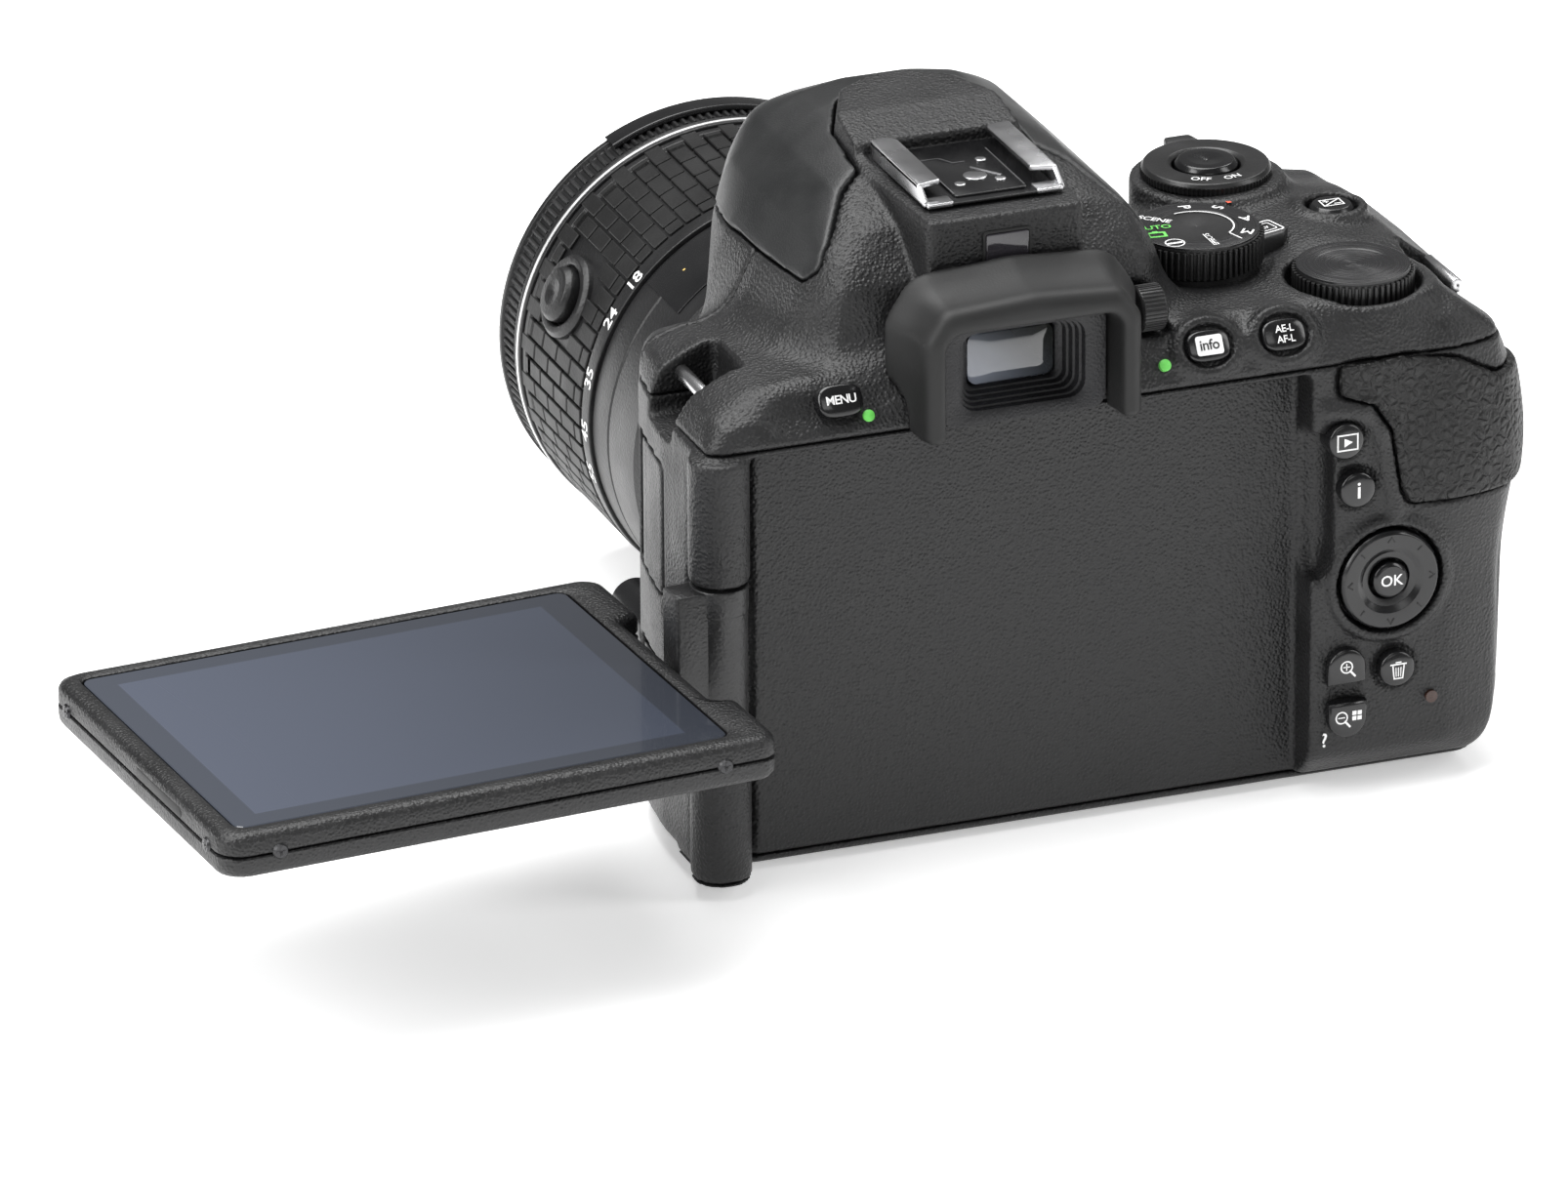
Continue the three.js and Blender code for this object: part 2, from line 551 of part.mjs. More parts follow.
// A knuckle on the rear cover holds one end of the swing pin.
function knuckle(low, high) {
  const post = turnedZ(disc(KNUCKLE_R, low, high), HINGE_X, HINGE_Y, 0, 20);
  const web = boxFrom(HINGE_X - 2.6, HINGE_X + 2.6, HINGE_Y - KNUCKLE_R - 1.5, HINGE_Y, low, high);
  return post.add(web);
}

function makeCasing() {
  const far = 60;
  const frontBack = REAR_SEAM_Y - SEAM / 2;
  const low = BASE_THICK + SEAM;
  const high = TOP_SEAM_Z - SEAM / 2;
  const inner = TILT_Z - BLOCK_HALF - SEAM;
  const outer = TILT_Z + BLOCK_HALF + SEAM;
  const rear = casingPart(frontBack + SEAM, far, low, high)
    .add(knuckle(low, inner)).add(knuckle(outer, WELL_TOP + 0.5));
  const pinLow = TILT_Z - BLOCK_HALF - 5;
  const pinHigh = TILT_Z + BLOCK_HALF + 5;
  const pinHole = turnedZ(disc(SWING_PIN_R + TURN_GAP, pinLow - SEAM, pinHigh + SEAM), HINGE_X, HINGE_Y, 0, 16);
  return [
    meshOf('front_shell', casingPart(-far, frontBack, low, high), BODY_BLACK),
    meshOf('rear_cover', rear.subtract(pinHole), BODY_BLACK),
    meshOf('top_cover', casingPart(-far, far, TOP_SEAM_Z + SEAM / 2, FLASH_CREST + 2), BODY_BLACK),
    meshOf('base_plate', casingPart(-far, far, -1, BASE_THICK), BODY_BLACK),
  ];
}

function makeRubber() {
  const gripStrip = planStrip(GRIP_PLAN.slice(0, -1), SEAM, RUBBER_THICK, 7, BODY_TOP - 22);
  const thumbPath = [[WELL_RIGHT - 10.6, BACK_Y], ...RIGHT_PLAN.toReversed().slice(0, -1)];
  const thumbStrip = planStrip(thumbPath, SEAM, RUBBER_THICK, MONITOR_TOP - 20, MONITOR_TOP - 4);
  return [
    meshOf('grip_rubber', gripStrip, GRIP_BLACK),
    meshOf('thumb_rubber', thumbStrip, GRIP_BLACK),
  ];
}

// ---------- Finder ----------
function makeFinder() {
  const low = EYECUP_BOTTOM;
  const rim = [
    [HUMP_REAR + SEAM, low], [EYECUP_BACK, low], [EYECUP_BACK, EYECUP_TOP - 2], [EYECUP_BACK - 3, EYECUP_TOP],
    [HUMP_REAR + SEAM, EYECUP_TOP],
  ];
  const eyecup = alongX(outline(rim), -EYECUP_HALF, EYECUP_HALF)
    .subtract(boxFrom(-EYE_WINDOW_HALF - SEAM, EYE_WINDOW_HALF + SEAM, 0, EYECUP_BACK + 1,
      EYE_WINDOW_BOTTOM - SEAM, EYE_WINDOW_TOP + SEAM))
    .subtract(alongX(outline([[0, 0], [BACK_Y + SEAM, 0], [BACK_Y + SEAM, WELL_TOP + 1.2],
      [BAND_Y + 1.8, BAND_Z - 1.7], [BAND_Y - 2.5, BODY_TOP + SEAM], [0, BODY_TOP + SEAM]]), -60, 60));
  const frame = boxFrom(-EYE_WINDOW_HALF, EYE_WINDOW_HALF, HUMP_REAR - 3 + SEAM, BACK_Y,
    EYE_WINDOW_BOTTOM, EYE_WINDOW_TOP)
    .subtract(boxFrom(-6.5, 6.5, 0, BACK_Y + 1, EYE_WINDOW_BOTTOM + 3, EYE_WINDOW_TOP - 2));
  const glass = boxFrom(-6.2, 6.2, HUMP_REAR, HUMP_REAR + 1.5, EYE_WINDOW_BOTTOM + 3.3, EYE_WINDOW_TOP - 2.3);
  const prism = alongX(outline([
    [-14, CAVITY_TOP + 1], [4, CAVITY_TOP + 1], [5, EYE_WINDOW_TOP], [-3, HUMP_TOP - 5], [-14, HUMP_TOP - 13],
  ]), -12.5, 12.5);
  const screen = boxFrom(-14, 14, MIRROR_HINGE_Y - MIRROR_LENGTH, MIRROR_HINGE_Y, MIRROR_HINGE_Z + 4,
    MIRROR_HINGE_Z + 5.5);
  return [
    meshOf('eyecup', eyecup, RUBBER_BLACK),
    meshOf('eyepiece_frame', frame, BODY_BLACK),
    meshOf('eyepiece_lens', glass, COATED_GLASS),
    meshOf('pentaprism', prism, COATED_GLASS),
    meshOf('focusing_screen', screen, COATED_GLASS),
  ];
}

function makeShoe() {
  const foot = HUMP_TOP;
  const wall = RAIL_PLATE;
  const top = SHOE_FLOOR + RAIL_HEIGHT;
  const channel = outline([
    [-SHOE_HALF, foot], [SHOE_HALF, foot], [SHOE_HALF, top], [SHOE_HALF - RAIL_WIDTH, top],
    [SHOE_HALF - RAIL_WIDTH, top - wall], [SHOE_HALF - wall, top - wall], [SHOE_HALF - wall, SHOE_FLOOR],
    [-SHOE_HALF + wall, SHOE_FLOOR], [-SHOE_HALF + wall, top - wall], [-SHOE_HALF + RAIL_WIDTH, top - wall],
    [-SHOE_HALF + RAIL_WIDTH, top], [-SHOE_HALF, top],
  ]);
  const contacts = boxFrom(-5.5, 5.5, SHOE_BACK - SHOE_LENGTH + 2, SHOE_BACK - 2, SHOE_FLOOR + SEAM,
    SHOE_FLOOR + 0.8);
  return [
    meshOf('accessory_shoe', alongY(channel, SHOE_BACK - SHOE_LENGTH, SHOE_BACK), ALUMINIUM),
    meshOf('shoe_contact_plate', contacts, DIAL_BLACK),
  ];
}

function makeFlash() {
  return [meshOf('flash_head', humpSolid().intersect(flashRoom(SEAM)), BODY_BLACK)];
}

// ---------- Controls ----------
function makeTopControls() {
  const modeLow = BODY_TOP - 1.5 + TURN_GAP;
  const modeTop = BODY_TOP + MODE_HEIGHT;
  const leverTop = BODY_TOP + SEAM + LEVER_THICK;
  const leverSolid = turnedZ(disc(MODE_R - 1, modeLow, leverTop), 0, 0)
    .add(boxFrom(0, LEVER_TIP, -LEVER_HALF, LEVER_HALF, BODY_TOP + SEAM, leverTop))
    .rotate([0, 0, LEVER_ANGLE / DEG]).translate([MODE_X, MODE_Y, 0]);
  const dialLow = BODY_TOP + SEAM + LEVER_THICK + TURN_GAP;
  const mode = turnedZ([[0, dialLow], [MODE_R, dialLow], [MODE_R, modeTop - 0.6], [MODE_R - 0.6, modeTop],
    [0, modeTop]], MODE_X, MODE_Y, 0, DIAL_SIDES);
  const command = turnedZ([[0, COMMAND_TOP - COMMAND_HEIGHT], [COMMAND_R, COMMAND_TOP - COMMAND_HEIGHT],
    [COMMAND_R, COMMAND_TOP - 0.6], [COMMAND_R - 0.6, COMMAND_TOP], [0, COMMAND_TOP]],
    COMMAND_X, COMMAND_Y, 0, DIAL_SIDES);
  const ringLow = TURRET_TOP + TURN_GAP;
  const power = turnedZ(ringProfile(RELEASE_R + TURN_GAP, POWER_R, ringLow, ringLow + POWER_THICK), 0, 0)
    .add(boxFrom(-POWER_TAB, POWER_TAB, -POWER_R - 2.4, -POWER_R + 1.5, ringLow, ringLow + POWER_THICK))
    .translate([RELEASE_X, RELEASE_Y, 0]);
  const shutter = turnedZ(disc(RELEASE_R, TURRET_TOP - TOP_BUTTON_DEPTH, ringLow + RELEASE_PROUD),
    RELEASE_X, RELEASE_Y);
  const exposure = turnedZ(disc(EXPOSURE_R, BODY_TOP - TOP_BUTTON_DEPTH, BODY_TOP + 1.2),
    EXPOSURE_X, EXPOSURE_Y, 0, 20);
  return [
    meshOf('live_view_lever', leverSolid, RUBBER_BLACK),
    meshOf('mode_dial', mode, DIAL_BLACK),
    meshOf('command_dial', command, DIAL_BLACK),
    meshOf('power_lever', power, BODY_BLACK),
    meshOf('shutter_button', shutter, DIAL_BLACK),
    meshOf('exposure_button', exposure, RUBBER_BLACK),
  ];
}

function makeBackControls() {
  const padProfile = ringProfile(OK_R + TURN_GAP, PAD_R, -BUTTON_DEPTH + TRAVEL, BUTTON_PROUD);
  const pad = onBack(latheOf(padProfile, 28).rotateX(Math.PI / 2), PAD_X, BACK_Y, PAD_Z);
  const ok = onBack(latheOf(disc(OK_R, -BUTTON_DEPTH + TRAVEL, BUTTON_PROUD - 0.2), 20).rotateX(Math.PI / 2),
    PAD_X, BACK_Y, PAD_Z);
  const diopter = turnedX([[0, -DIOPTER_HALF], [DIOPTER_R, -DIOPTER_HALF], [DIOPTER_R, DIOPTER_HALF],
    [0, DIOPTER_HALF]], DIOPTER_X, DIOPTER_Y, DIOPTER_Z);
  return [
    ...BACK_BUTTONS.map(backButton),
    meshOf('direction_pad', pad, RUBBER_BLACK),
    meshOf('ok_button', ok, RUBBER_BLACK),
    meshOf('diopter_dial', diopter, DIAL_BLACK),
  ];
}

function makeFrontControls() {
  const pinStart = FRONT_Y - 3;
  const release = turnedY(disc(RELEASE_PIN_R, pinStart, FRONT_Y + 10), RELEASE_PIN_X, RELEASE_PIN_Z);
  const fn = turnedY(disc(SIDE_BUTTON_R, FRONT_Y + 0.6, FRONT_Y + 6), FN_X, FN_Z, 16);
  const flashKey = turnedX(disc(SIDE_BUTTON_R, BROW_HALF - 3, BROW_HALF + 0.9), 0, FLASH_KEY_Y, FLASH_KEY_Z, 16);
  return [
    meshOf('lens_release_button', release, DIAL_BLACK),
    meshOf('function_button', fn, RUBBER_BLACK),
    meshOf('flash_button', flashKey, RUBBER_BLACK),
  ];
}

// ---------- Doors and fixed fittings ----------
function makeDoors() {
  const rooms = doorBoxes(0);
  const skin = envelope();
  return [
    meshOf('card_door', skin.intersect(rooms.card), BODY_BLACK),
    meshOf('battery_door', skin.intersect(rooms.battery), BODY_BLACK),
    ...PORTS.map(([name], i) => meshOf(name, skin.intersect(rooms.ports[i]), RUBBER_BLACK)),
  ];
}

function makeFittings() {
  const lug = (x) => turnedY(disc(LUG_BAR_R, LUG_Y - LUG_HALF, LUG_Y + LUG_HALF), x, LUG_Z, 12);
  const socket = turnedZ(ringProfile(TRIPOD_BORE, TRIPOD_R, SEAM, TRIPOD_TALL), 0, TRIPOD_Y);
  const mount = lensTurned(ringProfile(THROAT_R + 0.5, MOUNT_R, FLANGE_Y, FLANGE_Y + 2.9));
  return [
    meshOf('strap_lug_left', lug(BODY_LEFT - LUG_SET), STEEL),
    meshOf('strap_lug_right', lug(BODY_RIGHT + LUG_SET), STEEL),
    meshOf('tripod_socket', socket, STEEL),
    meshOf('lens_mount_ring', mount, STEEL),
  ];
}

function makeInside() {
  const mirror = boxFrom(-MIRROR_HALF, MIRROR_HALF, -MIRROR_LENGTH, 0, 0, MIRROR_THICK)
    .rotate([45, 0, 0]).translate([0, MIRROR_HINGE_Y, MIRROR_HINGE_Z]);
  const shutter = boxFrom(-16.4, 16.4, -6, -3.2, LENS_Z - 15, LENS_Z + 15)
    .subtract(boxFrom(-SENSOR_HALF_X, SENSOR_HALF_X, -4.4, 0, LENS_Z - SENSOR_HALF_Z, LENS_Z + SENSOR_HALF_Z));
  const sensor = boxFrom(-SENSOR_HALF_X, SENSOR_HALF_X, -1.2, 1.2, LENS_Z - SENSOR_HALF_Z, LENS_Z + SENSOR_HALF_Z);
  const board = boxFrom(WELL_RIGHT + 6, BODY_LEFT - 14, 6, 7.6, BASE_THICK + 3, CAVITY_TOP - 2);
  const battery = boxFrom(BATTERY_X, BATTERY_X + BATTERY_WIDTH, BATTERY_Y, BATTERY_Y + BATTERY_LENGTH,
    BASE_THICK + 1.2, BASE_THICK + BATTERY_TALL);
  return [
    meshOf('reflex_mirror', mirror, MIRROR_SILVER),
    meshOf('focal_plane_shutter', shutter, DIAL_BLACK),
    meshOf('image_sensor', sensor, SCREEN_GLASS),
    meshOf('circuit_board', board, BOARD_GREEN),
    meshOf('battery_pack', battery, DIAL_BLACK),
  ];
}

// ---------- Lens ----------
function makeLens() {
  const rear = FLANGE_Y - SEAM;
  const innerBack = BARREL_FRONT + 1.5;
  const zoomFront = LENS_FRONT + FOCUS_LENGTH + COLLAR_LENGTH + 2 * TURN_GAP;
  const zoomBack = BARREL_FRONT - TURN_GAP;
  const boreR = INNER_R + TURN_GAP;
  const barrel = lensTurned([
    [THROAT_R + 2, BARREL_FRONT], [BARREL_R, BARREL_FRONT], [BARREL_R, rear - 6], [MOUNT_R - 0.5, rear],
    [THROAT_R + 2, rear], [THROAT_R + 2, innerBack + 2], [boreR, innerBack + 2], [boreR, BARREL_FRONT],
  ].slice(1).concat([[BARREL_R, BARREL_FRONT]]));
  const zoom = lensTurned(ringProfile(boreR, ZOOM_R, zoomFront, zoomBack));
  const retractX = ZOOM_R * Math.cos(RETRACT_ANGLE);
  const retractZ = LENS_Z + ZOOM_R * Math.sin(RETRACT_ANGLE);
  const turnDegrees = 90 - RETRACT_ANGLE / DEG;
  const placeOnRing = (solid) => solid.rotate([0, turnDegrees, 0]).translate([retractX, RETRACT_Y, retractZ]);
  const well = placeOnRing(turnedZ(disc(RETRACT_R + TURN_GAP, -2.6, 4), 0, 0, 0, 20));
  const retract = placeOnRing(turnedZ(disc(RETRACT_R, -1.4, 1.2), 0, 0, 0, 20));
  const collarBack = LENS_FRONT + FOCUS_LENGTH + COLLAR_LENGTH + TURN_GAP;
  const focusBack = LENS_FRONT + FOCUS_LENGTH;
  const nose = FRONT_R - LENS_WALL - TURN_GAP;
  const inner = lensTurned([
    [INNER_R - LENS_WALL, LENS_FRONT + 0.5], [nose, LENS_FRONT + 0.5], [nose, focusBack + TURN_GAP],
    [FRONT_R, focusBack + TURN_GAP], [FRONT_R, collarBack], [INNER_R, collarBack], [INNER_R, innerBack],
    [INNER_R - LENS_WALL, innerBack], [INNER_R - LENS_WALL, LENS_FRONT + 0.5],
  ]);
  const focus = lensTurned(ringProfile(FRONT_R - LENS_WALL, FRONT_R, LENS_FRONT, focusBack));
  const glassR = INNER_R - LENS_WALL - SEAM;
  const glass = lensTurned([[0, LENS_FRONT + 5], [glassR * 0.6, LENS_FRONT + 5.8], [glassR, LENS_FRONT + 8],
    [glassR, LENS_FRONT + 10], [0, LENS_FRONT + 10]]);
  return [
    meshOf('lens_barrel', barrel, LENS_BLACK),
    meshOf('zoom_ring', zoom.subtract(well), RUBBER_BLACK),
    meshOf('lens_lock_button', retract, LENS_BLACK),
    meshOf('inner_barrel', inner, LENS_BLACK),
    meshOf('focus_ring', focus, RUBBER_BLACK),
    meshOf('front_element', glass, COATED_GLASS),
  ];
}

// ---------- Monitor: built level, screen up, reaching along +X from its swing axis ----------
function monitorOutline(inset) {
  const x0 = MONITOR_INSET + inset;
  const x1 = MONITOR_REACH - inset;
  const half = MONITOR_HEIGHT / 2 - inset;
  return roundedRect(x0, x1, -half, half, 3);
}

function makeMonitor() {
  const split = 0;
  const notch = boxFrom(0, NOTCH_X, -NOTCH_HALF, NOTCH_HALF, -MONITOR_HALF - 1, MONITOR_HALF + 1);
  const pinRoom = turnedX(disc(TILT_PIN_R + TURN_GAP, NOTCH_X - 1, TILT_PIN_END + SEAM), 0, 0, 0, 16);
  const back = alongZ(monitorOutline(0), -MONITOR_HALF, split - SEAM / 2);
  const rim = alongZ(monitorOutline(0), split + SEAM / 2, MONITOR_HALF);
  const glassX0 = NOTCH_X + 3;
  const glassX1 = MONITOR_REACH - 3.2;
  const glassHalf = MONITOR_HEIGHT / 2 - 3.2;
  const glassRoom = alongZ(roundedRect(glassX0 - SEAM, glassX1 + SEAM, -glassHalf - SEAM, glassHalf + SEAM, 2),
    MONITOR_HALF - 1.2, MONITOR_HALF + 1);
  const panelX0 = TILT_PIN_END + 1;
  const panelRoom = boxFrom(panelX0 - SEAM, glassX1 - 2 + SEAM, -glassHalf + 2 - SEAM, glassHalf - 2 + SEAM,
    split - 1, MONITOR_HALF + 1);
  const glass = alongZ(roundedRect(glassX0, glassX1, -glassHalf, glassHalf, 1.8),
    MONITOR_HALF - 1.2 + SEAM, MONITOR_HALF - 0.1);
  const panel = boxFrom(panelX0, glassX1 - 2, -glassHalf + 2, glassHalf - 2, split + SEAM, MONITOR_HALF - 1.4);
  const block = turnedZ(disc(KNUCKLE_R - 0.2, -BLOCK_HALF, BLOCK_HALF), 0, 0, 0, 20)
    .add(boxFrom(0, NOTCH_X - SEAM - 0.2, -MONITOR_HALF + 0.3, MONITOR_HALF - 0.3, -BLOCK_HALF, BLOCK_HALF))
    .subtract(turnedZ(disc(SWING_PIN_R + TURN_GAP, -BLOCK_HALF - 1, BLOCK_HALF + 1), 0, 0, 0, 16))
    .subtract(turnedX(disc(TILT_PIN_R + SEAM, SWING_PIN_R + 1, NOTCH_X + 1), 0, 0, 0, 16));
  const tiltPin = turnedX(disc(TILT_PIN_R, SWING_PIN_R + 1, TILT_PIN_END), 0, 0, 0, 16);
  const swingHalf = BLOCK_HALF + 5;
  const swingPin = turnedZ(disc(SWING_PIN_R, -swingHalf, swingHalf), 0, 0, 0, 16);
  const group = new THREE.Group();
  group.position.set(HINGE_X, HINGE_Y, TILT_Z);
  group.rotation.z = REST_SWING * DEG;
  group.add(
    meshOf('hinge_pin', swingPin, STEEL),
    meshOf('hinge_block', block, BODY_BLACK),
    meshOf('tilt_pin', tiltPin, STEEL),
    meshOf('monitor_rear_cover', cutAll(back, [notch, pinRoom]), BODY_BLACK),
    meshOf('monitor_bezel', cutAll(rim, [notch, pinRoom, glassRoom, panelRoom]), BODY_BLACK),
    meshOf('display_panel', panel, SCREEN_GLASS),
    meshOf('monitor_glass', glass, SCREEN_GLASS),
  );
  return group;
}

const group = new THREE.Group();
group.add(
  ...makeCasing(), ...makeRubber(), ...makeFinder(), ...makeShoe(), ...makeFlash(), ...makeTopControls(),
  ...makeBackControls(), ...makeFrontControls(), ...makeDoors(), ...makeFittings(), ...makeInside(),
  ...makeLens(), makeMonitor(),
);

export default group;
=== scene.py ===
# The camera stands on a pale floor. Sizes are in millimetres unless a name ends in _M, and every mesh is
# turned into metres as it is made. +Z is up, the lens looks along -Y and +X is the monitor's side.
import math

import bmesh
import bpy
import numpy as np
from mathutils import Matrix, Vector


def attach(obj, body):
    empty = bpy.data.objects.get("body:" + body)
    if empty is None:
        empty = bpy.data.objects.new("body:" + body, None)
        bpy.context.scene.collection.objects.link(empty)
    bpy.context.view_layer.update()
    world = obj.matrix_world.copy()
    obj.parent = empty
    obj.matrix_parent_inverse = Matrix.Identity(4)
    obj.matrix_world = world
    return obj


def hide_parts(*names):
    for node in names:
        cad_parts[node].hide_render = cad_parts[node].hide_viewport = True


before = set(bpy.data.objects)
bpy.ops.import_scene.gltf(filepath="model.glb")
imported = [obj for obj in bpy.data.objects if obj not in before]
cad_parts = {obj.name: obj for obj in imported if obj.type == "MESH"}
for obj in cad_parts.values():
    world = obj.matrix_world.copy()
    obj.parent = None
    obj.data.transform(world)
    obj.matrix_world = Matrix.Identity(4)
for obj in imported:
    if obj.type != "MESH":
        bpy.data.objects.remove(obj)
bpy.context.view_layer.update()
scene = bpy.context.scene
MM = 0.001


# ---------------------------------------------------------------------------------------------------
# Floor, camera and lights
# A pale sweep under the camera, a long lens behind and above the camera's left shoulder, and large
# soft lamps: one overhead, one to each side and a low fill.
FLOOR_SIZE_M = 6.0
floor_mesh = bpy.data.meshes.new("floor")
floor_corners = [(-1, -1), (1, -1), (1, 1), (-1, 1)]
floor_mesh.from_pydata([(a * FLOOR_SIZE_M, b * FLOOR_SIZE_M, 0) for a, b in floor_corners], [],
                       [(0, 1, 2, 3)])
floor = bpy.data.objects.new("floor", floor_mesh)
scene.collection.objects.link(floor)
floor_paint = bpy.data.materials.new("floor_paint")
floor_paint.use_nodes = True
floor_shader = floor_paint.node_tree.nodes["Principled BSDF"]
floor_shader.inputs["Base Color"].default_value = (0.9, 0.9, 0.9, 1)
floor_shader.inputs["Emission Color"].default_value = (1, 1, 1, 1)
floor_shader.inputs["Emission Strength"].default_value = 0.42
floor_shader.inputs["Roughness"].default_value = 0.7
floor_mesh.materials.append(floor_paint)

VIEW_AZIMUTH = math.radians(159.4)
VIEW_ELEVATION = math.radians(23.0)
VIEW_ROLL = math.radians(-0.35)
camera_data = bpy.data.cameras.new("view")
camera_data.sensor_width = 36
camera_data.lens = 337.7
camera_data.clip_start = 0.1
camera_data.clip_end = 50
camera = bpy.data.objects.new("view", camera_data)
scene.collection.objects.link(camera)
view_back = Vector((math.sin(VIEW_AZIMUTH) * math.cos(VIEW_ELEVATION),
                    -math.cos(VIEW_AZIMUTH) * math.cos(VIEW_ELEVATION), math.sin(VIEW_ELEVATION)))
camera.rotation_mode = "QUATERNION"
view_turn = (-view_back).to_track_quat("-Z", "Y").to_matrix() @ Matrix.Rotation(VIEW_ROLL, 3, "Z")
camera.rotation_quaternion = view_turn.to_quaternion()
camera.location = (0.69485, 1.77257, 0.84094)
scene.camera = camera


def soft_lamp(name, place, aim, size, power):
    lamp = bpy.data.lights.new(name, "AREA")
    lamp.shape = "RECTANGLE"
    lamp.size, lamp.size_y = size
    lamp.energy = power
    holder = bpy.data.objects.new(name, lamp)
    scene.collection.objects.link(holder)
    holder.location = place
    holder.rotation_euler = (Vector(aim) - Vector(place)).to_track_quat("-Z", "Y").to_euler()


CENTRE_M = (0.0, -0.02, 0.05)
soft_lamp("overhead", (0.15, -0.25, 1.1), CENTRE_M, (1.1, 0.8), 20)
soft_lamp("left_bank", (1.1, 0.2, 0.75), CENTRE_M, (0.5, 1.0), 13)
soft_lamp("right_bank", (-1.1, 0.5, 0.7), CENTRE_M, (0.4, 1.0), 6)
soft_lamp("back_bank", (0.2, 1.5, 0.9), CENTRE_M, (0.9, 0.5), 3.5)
soft_lamp("front_fill", (-1.1, -1.0, 1.5), CENTRE_M, (0.8, 0.6), 7)
world = bpy.data.worlds.new("room")
world.use_nodes = True
world.node_tree.nodes["Background"].inputs["Color"].default_value = (1, 1, 1, 1)
world.node_tree.nodes["Background"].inputs["Strength"].default_value = 0.2
scene.world = world
scene.view_settings.view_transform = "Standard"


# ---------------------------------------------------------------------------------------------------
# Casing
# Four moulded polycarbonate pieces with a fine pebbled grain: front shell, rear cover, top cover and base
# plate. They are worked out as one distance field on a grid, then parted along thin seams.
def recipe(name, settings):
    """An empty shader group with named settings, its input node and its output node."""
    tree = bpy.data.node_groups.new(name, "ShaderNodeTree")
    for label, kind, value in settings:
        tree.interface.new_socket(name=label, in_out="INPUT",
                                  socket_type="NodeSocket" + kind).default_value = value
    for label, kind in (("Color", "Color"), ("Roughness", "Float"), ("Height", "Float")):
        tree.interface.new_socket(name=label, in_out="OUTPUT", socket_type="NodeSocket" + kind)
    return tree, tree.nodes.new("NodeGroupInput").outputs, tree.nodes.new("NodeGroupOutput").inputs


def node(tree, kind, settings=None, **inputs):
    """A node in a tree, its settings made and its inputs set or linked; returns its outputs."""
    made = tree.nodes.new(kind)
    for key, value in (settings or {}).items():
        setattr(made, key, value)
    for key, value in inputs.items():
        socket = made.inputs[int(key[1:])] if key[0] == "i" and key[1:].isdigit() else made.inputs[key]
        if isinstance(value, bpy.types.NodeSocket):
            tree.links.new(value, socket)
        else:
            socket.default_value = value
    return made.outputs


def math_node(tree, operation, *values):
    return node(tree, "ShaderNodeMath", {"operation": operation},
                **{"i%d" % number: value for number, value in enumerate(values)})[0]


def span(tree, value, low, high, new_low, new_high):
    return node(tree, "ShaderNodeMapRange", Value=value,
                **{"From Min": low, "From Max": high, "To Min": new_low,
                                                             "To Max": new_high})[0]


def varied(tree, factor, dark, light):
    return node(tree, "ShaderNodeMix", {"data_type": "RGBA"}, i0=factor, i6=dark, i7=light)[2]


# Moulded plastic: close round grains with faint unevenness and a slight bloom
moulded_tree, given, gives = recipe("moulded_grain", [
    ("Deep", "Color", (0.02, 0.02, 0.02, 1)), ("Worn", "Color", (0.03, 0.03, 0.03, 1)),
    ("Sheen", "Float", 0.45), ("Grains", "Float", 1500.0), ("Waviness", "Float", 120.0)])
place = node(moulded_tree, "ShaderNodeTexCoord")["Object"]
cells = node(moulded_tree, "ShaderNodeTexVoronoi", {"feature": "SMOOTH_F1"}, Vector=place,
             Scale=given["Grains"],
             Smoothness=0.35)[0]
fine = node(moulded_tree, "ShaderNodeTexNoise", Vector=place, Scale=given["Grains"], Detail=3.0)[0]
broad = node(moulded_tree, "ShaderNodeTexNoise", Vector=place, Scale=given["Waviness"], Detail=4.0)[0]
domes = span(moulded_tree, cells, 0.08, 0.62, 1.0, 0.0)
relief = math_node(moulded_tree, "MULTIPLY_ADD", domes, 0.7, fine)
moulded_tree.links.new(varied(moulded_tree, span(moulded_tree, broad, 0.35, 0.7, 0.0, 1.0), given["Deep"],
                              given["Worn"]), gives["Color"])
moulded_tree.links.new(math_node(moulded_tree, "MULTIPLY_ADD",
                                 math_node(moulded_tree, "SUBTRACT", broad, 0.5), 0.3,
                                 given["Sheen"]), gives["Roughness"])
moulded_tree.links.new(relief, gives["Height"])

def paint(name, tree, deep, worn, sheen, depth=0.0, settings=None, **surface_values):
    """A material from a recipe: depth is how deep its relief is, in millimetres."""
    material = bpy.data.materials.new(name)
    material.use_nodes = True
    surface = material.node_tree.nodes["Principled BSDF"]
    values = dict(settings or {}, Deep=(*deep, 1), Worn=(*worn, 1), Sheen=sheen)
    coat = node(material.node_tree, "ShaderNodeGroup", {"node_tree": tree}, **values)
    relief = node(material.node_tree, "ShaderNodeBump", Height=coat["Height"], Distance=depth * MM)
    material.node_tree.links.new(coat["Color"], surface.inputs["Base Color"])
    material.node_tree.links.new(coat["Roughness"], surface.inputs["Roughness"])
    material.node_tree.links.new(relief["Normal"], surface.inputs["Normal"])
    for label, value in surface_values.items():
        surface.inputs[label.replace("_", " ")].default_value = value
    return material


casing_paint = paint("casing_plastic", moulded_tree, (0.007, 0.007, 0.0073), (0.0125, 0.0125, 0.013), 0.45,
                     0.12,
                     {"Grains": 1900.0}, Specular_IOR_Level=0.4)

